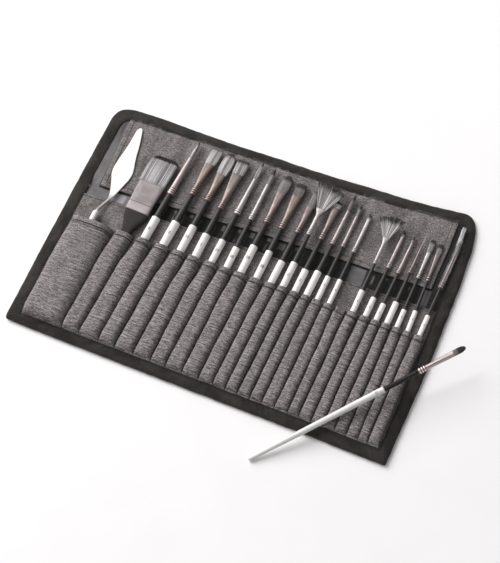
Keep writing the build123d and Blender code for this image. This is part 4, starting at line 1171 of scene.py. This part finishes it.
def tube(name, grid, s, materials, index_of=None, caps=(True, True), radius=5.0, mark=None):
    """A skin over rings, closed at both ends. mark: painted shade (over 0) and painted highlight (under 0)
    along it, the third coordinate.
    """
    count, around = grid.shape[:2]
    faces = grid_faces(count, around, 0, wrap_cols=True, flip=True)
    extra, tris = [], []
    total = count * around
    for end, cap in ((0, caps[0]), (count - 1, caps[1])):
        if cap:
            extra.append(grid[end].mean(0))
            ring = np.arange(around) + end * around
            nxt = np.roll(ring, -1)
            centre = np.full(around, total + len(extra) - 1)
            tris.append(np.stack([ring, nxt, centre] if end == 0 else [nxt, ring, centre], -1))
    points = np.concatenate([grid.reshape(-1, 3)] + ([np.array(extra)] if extra else []))
    s = np.asarray(s, float)
    angle = np.arange(around) / around * 2 * pi * radius
    tool = np.stack([np.broadcast_to(angle[None, :], (count, around)),
                     np.broadcast_to(s[:, None], (count, around)),
                     np.broadcast_to((np.zeros(count) if mark is None else mark)[:, None],
                                     (count, around))], -1).reshape(-1, 3)
    tool = np.concatenate([tool] + [np.array([[0, s[0 if k == 0 and caps[0] else -1], 0]])
                                    for k in range(len(extra))])
    index = None
    if index_of is not None:
        ring_index = np.array([index_of((s[k] + s[k + 1]) / 2) for k in range(count - 1)])
        index = np.repeat(ring_index, around)
        for end, cap in ((0, caps[0]), (-1, caps[1])):
            if cap:
                index = np.concatenate([index, np.full(around, ring_index[end])])
    parts = [faces] + tris
    quads = [p for p in parts if p.shape[1] == 4]
    triangles = [p for p in parts if p.shape[1] == 3]
    return make_mesh(name, points, quads + triangles, materials, index=index,
                     attributes={"tool": tool})


def join(name, objects):
    """Joins mesh objects into the first one."""
    bpy.ops.object.select_all(action="DESELECT")
    for o in objects:
        o.select_set(True)
    bpy.context.view_layer.objects.active = objects[0]
    bpy.ops.object.join()
    objects[0].name = name
    objects[0].data.name = name
    return objects[0]


def handle_profile(tail, barrel_end, ferrule_s, radius, neck, tail_radius, fullness):
    length = barrel_end - tail
    knots = [(tail + 3.0, tail_radius), (tail + length * 0.38, tail_radius + (radius - tail_radius)
             * fullness), (tail + length * 0.70, radius * (0.95 if fullness > 0.5 else 0.93)),
             (tail + length * 0.90, radius)]
    s = [tail, tail + 0.05, tail + 0.35, tail + 0.9, tail + 1.8, tail + 2.6]
    r = [0.6, tail_radius * 0.45, tail_radius * 0.72, tail_radius * 0.88, tail_radius * 0.97,
         tail_radius]
    body_s = np.linspace(tail + 3.0, tail + length * 0.90, 34)
    s += list(body_s)
    r += list(curve(knots, body_s))
    shoulder = max(radius * 0.80, neck + 0.1)
    s += list(np.linspace(tail + length * 0.92, barrel_end - 0.9, 4))
    r += [radius] * 4
    s += [barrel_end - 0.50, barrel_end - 0.22, barrel_end - 0.06, barrel_end, barrel_end + 0.01,
          barrel_end + 0.02, barrel_end + 0.35, barrel_end + 0.7]
    rim = min(radius - 0.55, max(radius * 0.84, shoulder + 0.15))
    r += [radius * 0.995, radius - 0.16, radius - 0.34, radius - 0.50, rim,
          shoulder + 0.12, shoulder + 0.02, shoulder - 0.01]
    neck_s = np.linspace(barrel_end + 2.0, ferrule_s + 1.2, 10)
    s += list(neck_s)
    r += list(np.interp(neck_s, [barrel_end + 0.7, ferrule_s], [shoulder - 0.01, neck]))
    return np.array(s), np.array(r)


def ferrule_profile(kind, start, crimped, mouth, neck, mouth_half, number_of_rings):
    """(s, half width, half thickness, squareness) along a ferrule, then its folded-in mouth."""
    shell = neck + 0.30
    flat_kind = kind not in ("round", "liner", "detail")
    thick = 1.8 if kind == "fan" else max(1.5, min(2.8, mouth_half * 0.46))
    s = np.unique(np.concatenate([np.linspace(start, crimped + 1.5, 64),
                                  np.linspace(crimped + 1.5, mouth, 34)]))
    ridge, mark = np.zeros_like(s), np.zeros_like(s)
    pitch = (crimped - start - 0.6) / number_of_rings
    for k in range(number_of_rings):
        centre = start + 0.4 + pitch * (k + 0.5)
        half = min(pitch * 0.40, 1.9)
        ridge += 0.55 * np.clip(1 - ((s - centre) / half) ** 2, 0, 1) ** 0.6
        ridge -= 0.20 * np.exp(-((s - centre - half - 0.25) / 0.25) ** 2)
        # painted shade in the grooves beside each ring, a painted highlight on its ridge
        mark += 1.0 * np.exp(-((s - centre - half - 0.30) / 0.42) ** 2)
        mark += 0.9 * np.exp(-((s - centre + half + 0.20) / 0.34) ** 2)
        mark -= 0.9 * np.exp(-((s - centre) / (0.55 * half)) ** 2)
    r = shell + ridge - 0.10 * (1 - smooth(start, start + 0.5, s))
    if flat_kind:
        flat_from = mouth - 11.0 if kind == "fan" else crimped + 4.0
        t = smooth(flat_from, mouth, s) if kind != "fan" else smooth(flat_from, mouth, s)
        t2 = np.clip((s - flat_from) / (mouth - flat_from), 0, 1)
        a = r + (mouth_half - shell) * (0.35 * t + 0.65 * t2**1.25)
        b = r + (thick - shell) * (0.5 * t + 0.5 * t2)
        power = 2.0 + 0.9 * t
    else:
        t = np.clip((s - crimped) / (mouth - crimped), 0, 1)
        a = r + (mouth_half - shell) * t
        b, power = a.copy(), np.full_like(a, 2.0)
    if flat_kind and mouth_half > 5.0 and kind != "fan":     # the broad face is painted darker: painted shade
        mark = mark + (0.50 if mouth_half > 8.0 else 0.36) * smooth(crimped + 8.0, mouth - 8.0, s)
    elif kind == "fan":
        # painted shade near the fan's mouth
        mark = mark + 0.24 * smooth(mouth - 12.0, mouth - 4.0, s)
    # rim, wall thickness and a short way in
    end_a, end_b, end_p = a[-1], b[-1], power[-1]
    s = np.concatenate([s, [mouth + 0.03, mouth + 0.02, mouth - 0.6, mouth - 2.5]])
    a = np.concatenate([a, end_a - np.array([0.06, 0.22, 0.26, 0.30])])
    b = np.concatenate([b, end_b - np.array([0.06, 0.22, 0.26, 0.30])])
    power = np.concatenate([power, np.full(4, end_p)])
    # painted shade a short way into the mouth
    mark = np.concatenate([mark, [0, 0.4, 0.8, 1.0]])
    return s, a, b, power, np.clip(mark, -1, 1)


def tuft_shape(kind, mouth_half, half):
    """(half width, half thickness, reach) as functions: shares of the tuft's length."""
    thick = max(1.3, min(2.6, mouth_half * 0.42))
    if kind in ("round", "liner", "detail"):
        knots = [(0, mouth_half - 0.12), (0.22, half * 0.97), (0.40, half), (0.64, half * 0.80),
                 (0.86, half * 0.42), (1.0, 0.22)]
        wide = lambda t: curve(knots, t)
        return wide, wide, lambda p, q: 1 - 0.05 * (p * p + q * q)
    wide_knots = [(0, mouth_half - 0.12), (0.40, half), (0.80, half * 0.98), (1.0, half * 0.92)]
    deep_knots = [(0, thick), (0.40, thick * 1.0), (0.80, thick * 0.62), (1.0, thick * 0.30)]
    wide, deep = (lambda t: curve(wide_knots, t)), (lambda t: curve(deep_knots, t))
    if kind == "filbert":
        return wide, deep, lambda p, q: 1 - 0.36 * np.abs(p) ** 2.6 - 0.02 * q * q
    if kind == "angular":
        return wide, deep, lambda p, q: 1 - 0.34 * (p + 1) / 2 - 0.02 * q * q
    return wide, deep, lambda p, q: 1 - 0.05 * np.abs(p) ** 5 - 0.03 * q * q


def hairs(name, frame_, roots, paths, tints, along, tip_start, radius, material, core=None):
    """Single hairs as thin three-sided tapered rods. paths: (hairs, steps, 3 local mm)."""
    count, steps = paths.shape[:2]
    taper = np.interp(np.linspace(0, 1, steps), [0, 0.7, 1.0], [1.0, 0.85, 0.28]) * radius
    angle = np.arange(3) * 2 * pi / 3 + 0.5
    local = np.repeat(paths[:, :, None, :], 3, axis=2)
    local[..., 0] += taper[None, :, None] * np.cos(angle)[None, None, :]
    local[..., 1] += taper[None, :, None] * np.sin(angle)[None, None, :]
    points = frame_.points(local[..., 0], local[..., 1], local[..., 2]).reshape(-1, 3)
    ids = np.arange(count * steps * 3).reshape(count, steps, 3)
    quads = []
    for k in range(3):
        k2 = (k + 1) % 3
        quads.append(np.stack([ids[:, :-1, k], ids[:, 1:, k], ids[:, 1:, k2], ids[:, :-1, k2]],
                              -1).reshape(-1, 4))
    tip = np.stack([ids[:, -1, 0], ids[:, -1, 2], ids[:, -1, 1]], -1)
    hair = np.stack([np.repeat(tints, steps * 3),
                     np.repeat(along.reshape(-1), 3),
                     np.full(count * steps * 3, tip_start)], -1)
    obj = make_mesh(name, points, [np.concatenate(quads), tip], [material],
                    attributes={"hair": hair})
    return obj


def make_tuft(name, frame_, kind, mouth, tip, mouth_half, half, tip_start, material, seed,
              count=None, fine=0.085, bias=0.0):
    rng = np.random.default_rng(seed)
    wide, deep, reach = tuft_shape(kind, mouth_half, half)
    length = tip - mouth
    if count is None:
        count = int(min(900, max(120, 260 * (half / 4.0) ** 0.9 * (1.4 if kind in (
            "flat", "filbert", "angular") else 1.0))))
    rho, phi = np.sqrt(rng.uniform(0.02, 1, count)), rng.uniform(0, 2 * pi, count)
    p, q = rho * np.cos(phi), rho * np.sin(phi)
    if kind in ("flat", "filbert", "angular"):       # more even across the width
        p = np.clip(p * (1.0 + 0.10 * (1 - rho)), -1, 1)
    clumps = rng.normal(0, 1, 24)
    clump = clumps[np.clip(((p + 1) / 2 * 12).astype(int), 0, 11) + 12 * (q > 0)]
    steps = 8
    ends = reach(p, q) * (1 - rng.uniform(0, 0.035, count))
    share = np.linspace(0, 1, steps)[None, :]
    t = share * ends[:, None]
    w, h = wide(t), deep(t)
    stray = rng.normal(0, 0.035, (count, 1)) * share**2
    x = p[:, None] * w * (1 + 0.03 * clump[:, None] * share) + stray * half
    z = q[:, None] * h * (1 + 0.10 * clump[:, None] * share) + rng.normal(
        0, 0.03, (count, 1)) * share**2 * h.max()
    s = mouth - 1.0 + t * (length + 1.0)
    lock = lambda at: 0.57 + bias + 0.21 * noise(at * half / 0.62 + seed * 1.7, 0 * at, 73)
    tints = np.clip(lock(p) + rng.normal(0, 0.19, count), 0, 1)
    obj = hairs(name, frame_, None, np.stack([x, z, s], -1), tints, t, tip_start, fine, material)
    # dense heart of the tuft, just under the outer hairs
    inner_t = np.linspace(0.0, 0.965, 22)
    if kind == "filbert":
        room = np.clip(((1 - inner_t) / 0.36), 0, 1) ** (1 / 2.6)
        centre = np.zeros_like(inner_t)
    elif kind == "angular":
        right = np.clip((1 - inner_t) / 0.34 * 2 - 1, -0.98, 1)
        room, centre = (right + 1) / 2, (right - 1) / 2
    else:
        room, centre = np.ones_like(inner_t), np.zeros_like(inner_t)
    w, h = wide(inner_t) * 0.94, deep(inner_t) * 0.90
    shape = rings(frame_, mouth - 1.0 + inner_t * (length + 1.0), np.maximum(w * room, 0.05),
                  np.maximum(h, 0.05), 2.2, side=w * centre, count=36)
    heart = tube(name + "_heart", shape, inner_t, [material])
    n_points = len(heart.data.vertices)
    ring_t = np.repeat(inner_t, 36)
    ring_t = np.concatenate([ring_t, [inner_t[0], inner_t[-1]]])
    angle_tint = np.tile(lock(np.cos(np.arange(36) * 2 * pi / 36)) - 0.10, len(inner_t))
    angle_tint = np.concatenate([angle_tint, [0.3, 0.3]])
    hair = np.stack([np.clip(angle_tint, 0, 1), ring_t, np.full(n_points, tip_start)], -1)
    heart.data.attributes.new("hair", "FLOAT_VECTOR", "POINT").data.foreach_set(
        "vector", hair.astype(np.float32).ravel())
    return join(name, [obj, heart])


# reach and sideways place of a fan's tips from its left corner to its right one, as shares
FANS = {
    212: ((-1.0, 0.97, -0.92), (-0.5, 1.00, -0.42), (0.0, 1.0, 0.06), (0.5, 0.95, 0.62),
          (1.0, 0.78, 1.18)),
    218: ((-1.0, 0.80, -1.14), (-0.5, 0.92, -0.60), (0.0, 0.98, -0.10), (0.5, 1.0, 0.42),
          (1.0, 0.94, 0.98)),
}


def make_fan(name, frame_, mouth, tip, mouth_half, half, tip_start, material, seed, bias=0.0):
    """Fan of separate hairs that spread from the flattened ferrule and rise a little."""
    rng = np.random.default_rng(seed)
    reach = tip - mouth
    rise = radians(FAN_RISE)
    count = 950
    p = np.clip(rng.uniform(-1, 1, count) + rng.normal(0, 0.02, count), -1, 1)
    clumps = rng.normal(0, 0.022, 30)
    clump = clumps[np.clip(((p + 1) / 2 * 30).astype(int), 0, 29)]
    spread = np.clip(p + clump, -1, 1)
    table = np.array(FANS[seed])
    edge = np.interp(spread, table[:, 0], table[:, 1]) * (1 + 0.025 * noise(spread * 9, 0 * spread, 76))
    edge = np.minimum(edge, 1.0)
    aside = np.interp(spread, table[:, 0], table[:, 2]) * half
    ends = edge * (1 - rng.uniform(0, 0.09, count))
    steps = 8
    share = np.linspace(0, 1, steps)[None, :]
    t = share * ends[:, None]
    out = np.clip(t / edge[:, None], 0, 1)
    x0 = spread[:, None] * (mouth_half - 0.45)
    x = x0 + (aside[:, None] - x0) * out**1.12
    local_z = rng.uniform(-0.62, 0.62, (count, 1)) * (1 - 0.45 * share) + rng.normal(
        0, 0.10, (count, 1)) * share**2
    s_in = t * reach
    s = mouth + 0.5 + s_in * cos(rise) - local_z * sin(rise) - 1.5 * (1 - share)
    z = s_in * sin(rise) + local_z * cos(rise)
    tints = np.clip(0.55 + bias + clump * 14 + rng.normal(0, 0.15, count), 0, 1)
    along = t / edge[:, None] * (1 + 0.10 * noise(spread * 7, 0 * spread, 77))[:, None]
    return hairs(name, frame_, None, np.stack([x, z, s], -1), tints, along, tip_start, 0.135,
                 material)


def digits(name, text, frame_, middle_s, radius_at, size):
    """Printed size digits, bent round the barrel, upright when the head points up."""
    data = bpy.data.curves.new(name + "_text", "FONT")
    data.body, data.size, data.align_x, data.align_y = text, size * 1.38, "CENTER", "CENTER"
    data.offset = 0.06 * size
    data.resolution_u = 6
    source = bpy.data.objects.new(name + "_text", data)
    bpy.context.scene.collection.objects.link(source)
    bpy.context.view_layer.update()
    made = bpy.data.meshes.new_from_object(source)
    bpy.data.objects.remove(source)
    bpy.data.curves.remove(data)
    co = np.array([v.co for v in made.vertices], float)
    faces = [tuple(f.vertices) for f in made.polygons]
    bpy.data.meshes.remove(made)
    mesh = bpy.data.meshes.new(name)
    mesh.from_pydata([tuple(c) for c in co], [], faces)
    obj = bpy.data.objects.new(name, mesh)
    bpy.context.scene.collection.objects.link(obj)
    s = middle_s + co[:, 1]
    angle = 0.12 + co[:, 0] * 0.92 / radius_at
    r = radius_at + 0.05
    side, up = np.sin(angle) * r, np.cos(angle) * r
    points = frame_.points(side, up, s) * MM
    mesh.vertices.foreach_set("co", points.astype(np.float32).ravel())
    mesh.materials.append(ink)
    mesh.update()
    return obj


def build_brush(body, kind, frame_, tail, barrel_end, start, crimped, mouth, tip, radius, neck,
                mouth_half, half, look, seed, tool_slot="white_lacquer", tail_radius=TAIL_RADIUS,
                fullness=0.42):
    text, below, metal, tip_start, ring_count = look
    s, r = handle_profile(tail, barrel_end, start, radius, neck, tail_radius, fullness)
    grid = rings(frame_, s, r, r, count=48)
    paint, dark = (loose_paint, loose_black) if body == "loose_brush" else (white_paint, black_paint)
    handle = tube(body + "_handle_paint", grid, s, [paint, dark],
                  index_of=lambda at: 0 if at < barrel_end + 0.005 else 1, radius=radius)
    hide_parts(body + "_handle")
    fs, a, b, power, mark = ferrule_profile(kind, start, crimped, mouth, neck, mouth_half, ring_count)
    shape = rings(frame_, fs, a, b, power, count=56)
    slim = seed - 200 in SLIM and metal + "_slim" in metals
    metal_piece = tube(body + "_ferrule", shape, fs, [metals[metal + "_slim" if slim else metal]],
                       caps=(True, False),
                       radius=neck, mark=mark)
    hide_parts(body + "_head")
    material = hair_fan if kind in ("fan", "liner") else hair_grey
    if kind == "fan":
        tuft = make_fan(body + "_hair", frame_, mouth, tip, mouth_half, half, tip_start, material,
                        seed, HAIR_TONE.get(seed - 200, 0.0))
    else:
        tuft = make_tuft(body + "_hair", frame_, kind, mouth, tip, mouth_half, half, tip_start,
                         material, seed, bias=HAIR_TONE.get(seed - 200, 0.0))
    made = [handle, metal_piece, tuft]
    if text:
        number = digits(body + "_size", text, frame_, barrel_end - below, radius,
                        4.2 if body == "loose_brush" else min(4.4, radius * 0.84))
        made.append(number)
    for piece in made:
        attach(piece, body)
    return made


along_y = lambda y: y - MOUTH_Y
for (number, kind, x, lean, radius, barrel_end, start, crimped, mouth, tip, neck, mouth_half,
     half) in BRUSHES:
    holder = Along((x, MOUTH_Y, mouth_height(number, radius)), lean,
                   FAN_TILT if kind == "fan" else TILT)
    if number == 3:                      # its hair is drawn together to a thin point
        mouth_half, half = 3.1, 2.9
    build_brush(f"{kind}_brush_{number:02d}", kind, holder, -SLEEVE_DEPTH, along_y(barrel_end),
                along_y(start), along_y(crimped), along_y(mouth), along_y(tip), radius, neck,
                mouth_half, half, LOOKS[number], 200 + number)

loose = Along(LOOSE_TAIL, LOOSE_YAW, LOOSE_TILT)
build_brush("loose_brush", "filbert", loose, 0.0, *LOOSE[1:6], LOOSE[0], LOOSE[6] + 0.3,
            LOOSE[7] + 0.6, LOOSE[8] + 0.45, ("8", 11.0, "loose", 0.40, 3), 260, tail_radius=LOOSE_TAIL_RADIUS, fullness=LOOSE_BELLY)

# ---------------------------------------------------------------- flat wash brush
wash = Along((WASH_X, MOUTH_Y, WASH_Z), WASH_YAW, 0.0)
s = np.unique(np.concatenate([np.linspace(-141, -136, 10), np.linspace(-136, 0, 26),
                              np.linspace(0, 33.9, 34)]))
wide = curve([(-141, 7.0), (-137, 10.0), (-70, 11.5), (-20, 13.0), (2, 15.4), (9, 19.4),
              (16, 25.0), (27, 34.0), (33.95, 36.4)], s) / 2
deep = curve([(-141, 6.0), (-137, 7.4), (-70, 8.6), (-20, 9.2), (2, 9.4), (16, 9.6), (27, 9.8),
              (33.95, 9.8)], s) / 2
end = 1 - 0.55 * np.exp(-(s + 141) / 0.9)
handle = tube("wash_handle_paint", rings(wash, s, wide * end, deep * end, 3.6, count=64), s,
              [wash_paint], radius=8)
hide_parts("wash_brush_handle")
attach(handle, "wash_brush")

f0, f1 = 34.0, along_y(73.0)
s = np.unique(np.concatenate([np.linspace(f0, f1, 60), np.linspace(f0 + 12.2, f0 + 13.8, 14),
                              np.linspace(f0, f0 + 1.2, 8), np.linspace(f1 - 1.2, f1, 8)]))
wide = curve([(34, 37.2), (47, 38.0), (81, 40.6)], s) / 2
deep = curve([(34, 10.8), (47, 10.8), (81, 10.4)], s) / 2
groove = (0.30 * np.exp(-((s - f0 - 13.0) / 0.35) ** 2) + 0.18 * np.exp(-((s - f0 - 0.9) / 0.3) ** 2)
          - 0.12 * np.exp(-((s - f0 - 13.9) / 0.5) ** 2))
swell = 0.22 * np.sin(np.clip((s - f0 - 13) / 34, 0, 1) * pi)
a, b = wide - groove, deep - groove + swell - 0.25
s = np.concatenate([s, [f1 + 0.02, f1 + 0.02, f1 - 0.6, f1 - 3]])
a = np.concatenate([a, a[-1] - np.array([0.08, 0.35, 0.40, 0.45])])
b = np.concatenate([b, b[-1] - np.array([0.08, 0.35, 0.40, 0.45])])
# painted highlight: the band below the groove and the groove line are painted lighter
lower_band = -0.42 * smooth(f0 + 0.5, f0 + 1.5, s) * (1 - smooth(f0 + 12.2, f0 + 12.8, s))
wash_painted_highlight = lower_band - 0.25 * np.exp(-((s - f0 - 13.0) / 0.5) ** 2)
shell = tube("wash_ferrule", rings(wash, s, a, b, 6.5, count=120), s, [metals["wash"]],
             caps=(True, False), radius=16, mark=wash_painted_highlight)
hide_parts("wash_brush_head")
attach(shell, "wash_brush")


def wash_tuft():
    rng = np.random.default_rng(301)
    mouth, tip = f1, along_y(WASH_TIP_Y)
    length = tip - mouth
    count = 2600
    p = rng.uniform(-1, 1, count)
    q = np.sign(rng.uniform(-1, 1, count)) * rng.uniform(0, 1, count) ** 0.45
    locks = rng.normal(0, 1, 24)
    lock = locks[np.clip(((p + 1) / 2 * 24).astype(int), 0, 23)]
    ends = (1 - 0.13 * np.abs(p) ** 5 - 0.03 * q * q) * (1 - rng.uniform(0, 0.035, count))
    steps = 9
    share = np.linspace(0, 1, steps)[None, :]
    t = share * ends[:, None]
    w = curve([(0, 19.9), (0.55, 21.0), (0.85, 20.7), (1.0, 19.8)], t)
    h = curve([(0, 4.7), (0.5, 4.6), (0.85, 3.0), (1.0, 1.7)], t)
    x = p[:, None] * w + 0.16 * lock[:, None] * share * 1.2 + rng.normal(0, 0.22, (count, 1)) * share**2
    z = q[:, None] * h + 0.10 * lock[:, None] * share + rng.normal(0, 0.12, (count, 1)) * share**2
    s = mouth - 1.0 + t * (length + 1.0)
    # painted shade: hairs towards the right side are darker
    tone_at = lambda at: 0.68 + 0.30 * noise(at * 9.5 + 3.3, 0 * at, 74) + 0.26 * noise(
        at * 24 + 1.3, 0 * at, 75) - 0.10 * smooth(0.4, 1.0, at)
    tints = np.clip(tone_at(p) + rng.normal(0, 0.13, count), 0, 1)
    obj = hairs("wash_hair", wash, None, np.stack([x, z, s], -1), tints, t, 0.82, 0.10, hair_pale)
    inner_t = np.linspace(0, 0.972, 20)
    w = curve([(0, 19.9), (0.55, 21.0), (0.85, 20.7), (1.0, 19.8)], inner_t) * 0.975
    h = curve([(0, 4.7), (0.5, 4.6), (0.85, 3.0), (1.0, 1.7)], inner_t) * 0.90
    room = np.clip((1 - inner_t) / 0.13, 0, 1) ** (1 / 5)
    heart = tube("wash_heart", rings(wash, mouth - 1 + inner_t * (length + 1), w * room, h, 5.0,
                                     count=150), inner_t, [hair_pale])
    angle_tint = np.tile(np.clip(tone_at(np.sign(np.cos(np.arange(150) * 2 * pi / 150)) * np.abs(
        np.cos(np.arange(150) * 2 * pi / 150)) ** 0.4) - 0.12, 0, 1), len(inner_t))
    hair = np.stack([np.concatenate([angle_tint, [0.3, 0.3]]),
                     np.concatenate([np.repeat(inner_t, 150), [0, 0.972]]),
                     np.full(150 * 20 + 2, 0.82)], -1)
    heart.data.attributes.new("hair", "FLOAT_VECTOR", "POINT").data.foreach_set(
        "vector", hair.astype(np.float32).ravel())
    return join("wash_hair", [obj, heart])


wash_hair = wash_tuft()
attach(wash_hair, "wash_brush")

# ---------------------------------------------------------------- palette knife, one moulding
left_edge = [(33.0, -219.6), (40.1, -220.9), (50.0, -223.9), (61.9, -228.6), (74.7, -233.6),
             (81.7, -234.5), (94.6, -233.6), (109.4, -231.6), (129.2, -229.8), (147.0, -229.1),
             (151.2, -227.5), (153.2, -225.4)]
right_edge = [(33.0, -215.8), (38.1, -213.6), (48.0, -210.6), (57.9, -207.6), (71.8, -203.8),
              (77.7, -203.3), (87.6, -204.8), (97.5, -207.8), (109.4, -210.8), (124.3, -213.8),
              (136.2, -216.9), (147.2, -220.0), (152.0, -222.0), (153.2, -223.4)]
upright = Along((0, 0, 0), 0.0, 0.0)
y = np.unique(np.concatenate([
    np.linspace(-148, -140, 14), np.linspace(-140, 4, 40), np.linspace(4, 12, 22),
    np.linspace(12, 40, 40), np.linspace(40, 149, 90), np.linspace(149, 153.2, 14)]))
grip = curve([(-148, 1.6), (-146.8, 3.6), (-144, 5.6), (-118, 6.3), (-68, 6.6), (-32, 5.6),
              (-12, 4.4), (4.6, 4.4), (6.8, 4.05), (8.2, 2.7), (9.4, 2.05)], y)
shank_half = curve([(9.4, 2.05), (12, 2.2), (24, 2.1), (33, 2.1)], y)
blade_half = (curve(right_edge, y) - curve(left_edge, y)) / 2
blade_mid = (curve(right_edge, y) + curve(left_edge, y)) / 2
is_grip, is_blade = y < 9.4, y > 33.0
half_w = np.where(is_grip, grip, np.where(is_blade, blade_half, shank_half))
mid_x = np.where(is_blade, blade_mid, curve([(-148, -224.7), (9.4, -224.5), (14, -223.7),
                                             (22, -221.4), (33, -217.7)], y))
half_t = np.where(is_grip, grip, curve([(9.4, 2.05), (14, 1.75), (24, 1.5), (36, 1.1),
                                        (60, 0.80), (153.2, 0.62)], y))
mid_z = curve([(-148, 13.6), (8.0, 13.6), (12, 13.0), (22, 10.9), (32, 9.5), (40, 9.2),
               (153.2, 9.2)], y)
tip_round = np.sqrt(np.clip(1 - (np.clip((y - 151.0) / 2.35, 0, 1)) ** 2, 0.02, 1))
power = np.where(is_grip, 2.0, curve([(9.4, 2.0), (20, 2.4), (34, 3.4), (48, 6.5), (155, 6.5)], y))
knife = tube("palette_knife_moulding", rings(upright, y, half_w, half_t * tip_round, power,
                                             side=mid_x, up=mid_z, count=72), y, [moulded])
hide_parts("palette_knife")
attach(knife, "palette_knife")

# ---------------------------------------------------------------- clear guard on the last brush
spec = BRUSHES[-1]
guarded = Along((spec[2], MOUTH_Y, mouth_height(spec[0], spec[4])), spec[3], TILT)
g0, g1 = along_y(62.0), along_y(156.0)
s = np.linspace(g0, g1, 150)
angle = np.arange(40) * 2 * pi / 40
S, A = np.meshgrid(s, angle, indexing="ij")
share = (S - g0) / (g1 - g0)
ripple = (0.26 * noise(A / pi * 3, S / 9, 81) + 0.20 * noise(A / pi * 5, S / 4, 82)) * (
    0.5 + smooth(0.25, 0.7, share))
pinch = 0.75 * smooth(0.72, 1.0, share)
round_r = (3.72 + ripple) * (1 - 0.30 * smooth(0.66, 0.92, share))
bend = -3.0 * smooth(0.50, 1.0, share) ** 2
px = bend + np.cos(A) * (round_r + 0.25 * pinch)
pz = np.sin(A) * (round_r * (1 - 0.42 * pinch)) + 0.2 * pinch
outer_skin = guarded.points(px, pz, S)
inner_skin = guarded.points(bend + np.cos(A) * (round_r + 0.25 * pinch - 0.32),
                            np.sin(A) * ((round_r - 0.32) * (1 - 0.42 * pinch)) + 0.2 * pinch, S)
count, around = outer_skin.shape[:2]
out_faces = grid_faces(count, around, 0, wrap_cols=True, flip=True)
in_faces = grid_faces(count, around, count * around, wrap_cols=True)
rim_faces = []
for row, flip in ((0, False), (count - 1, True)):
    ring = np.arange(around) + row * around
    nxt = np.roll(ring, -1)
    quad = np.stack([ring, nxt, nxt + count * around, ring + count * around], -1)
    rim_faces.append(quad[:, ::-1] if flip else quad)
guard = make_mesh("tip_guard_tube", np.concatenate([outer_skin.reshape(-1, 3),
                                                    inner_skin.reshape(-1, 3)]),
                  [np.concatenate([out_faces, in_faces] + rim_faces)], [clear], attributes={
                      "tool": np.concatenate([np.stack([A * 3.7 + inside, S, smooth(
                          0.70, 0.88, share)], -1).reshape(-1, 3) for inside in (0.0, 60.0)])})
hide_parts("tip_guard")
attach(guard, "tip_guard")

# ---------------------------------------------------------------- stage, light and camera
floor_look = Look("floor", roughness=0.55)
grain = floor_look.noise(floor_look.place(), 0.01, 3.0, 0.6)
floor_look.set("Base Color", floor_look.mix(floor_look.ramp(grain, 0.3, 0.7), (0.885, 0.882, 0.884),
                                            (0.868, 0.865, 0.868)))
floor_look.set("Specular IOR Level", 0.25)
bpy.ops.mesh.primitive_plane_add(size=12.0, location=(0, 0, -0.0004))
floor = bpy.context.object
floor.name = "floor"
floor.data.materials.append(floor_look.material)

world = bpy.data.worlds.new("studio")
world.use_nodes = True
bpy.context.scene.world = world
tree = world.node_tree
background = tree.nodes["Background"]
where = tree.nodes.new("ShaderNodeTexCoord")
apart = tree.nodes.new("ShaderNodeSeparateXYZ")
tree.links.new(where.outputs["Generated"], apart.inputs[0])
rise_ = tree.nodes.new("ShaderNodeMapRange")
rise_.inputs["From Min"].default_value, rise_.inputs["From Max"].default_value = -0.9, 0.9
rise_.inputs["To Min"].default_value, rise_.inputs["To Max"].default_value = 1.0, 0.0
tree.links.new(apart.outputs["X"], rise_.inputs["Value"])
tone = tree.nodes.new("ShaderNodeMix")
tone.data_type = "RGBA"
tone.inputs[6].default_value = (0.28, 0.276, 0.278, 1)
tone.inputs[7].default_value = (1.0, 0.985, 0.985, 1)
tree.links.new(rise_.outputs[0], tone.inputs[0])
tree.links.new(tone.outputs[2], background.inputs["Color"])
background.inputs["Strength"].default_value = 0.80


def lamp(name, place, size, power, colour=(1, 1, 1), diffuse=True, gloss=True):
    data = bpy.data.lights.new(name, "AREA")
    data.shape, data.size, data.energy, data.color = "DISK", size, power, colour
    obj = bpy.data.objects.new(name, data)
    obj.location = place
    obj.rotation_mode = "QUATERNION"
    obj.rotation_quaternion = (Vector((0, 0, 0)) - Vector(place)).to_track_quat("-Z", "Y")
    obj.visible_diffuse, obj.visible_glossy = diffuse, gloss
    bpy.context.scene.collection.objects.link(obj)
    return obj


# a large soft key for the shading, and a dimmer, larger softbox that only gives the sheen
lamp("key", (-3.0, 1.4, 2.9), 3.5, 221.0, (1.0, 0.985, 0.98), gloss=False)
lamp("sheen", (-2.7, 0.9, 2.0), 4.8, 118.0, (1.0, 0.985, 0.975), diffuse=False)

scene = bpy.context.scene
scene.view_settings.view_transform = "Standard"
scene.view_settings.look = "None"
scene.view_settings.exposure = 0.0
scene.view_settings.gamma = 1.0

camera_data = bpy.data.cameras.new("camera")
camera_data.lens, camera_data.sensor_width, camera_data.sensor_fit = 72.67, 36.0, "AUTO"
camera_data.clip_start, camera_data.clip_end = 0.05, 50.0
camera = bpy.data.objects.new("camera", camera_data)
right = (0.9071416, 0.3974308, -0.1383576)
down = (0.3157708, -0.8601733, -0.4004880)
ahead = (-0.2781778, 0.3196101, -0.9057961)
camera.matrix_world = Matrix((
    (right[0], -down[0], -ahead[0], 0.449607),
    (right[1], -down[1], -ahead[1], -0.504239),
    (right[2], -down[2], -ahead[2], 1.396750),
    (0, 0, 0, 1),
))
scene.collection.objects.link(camera)
scene.camera = camera
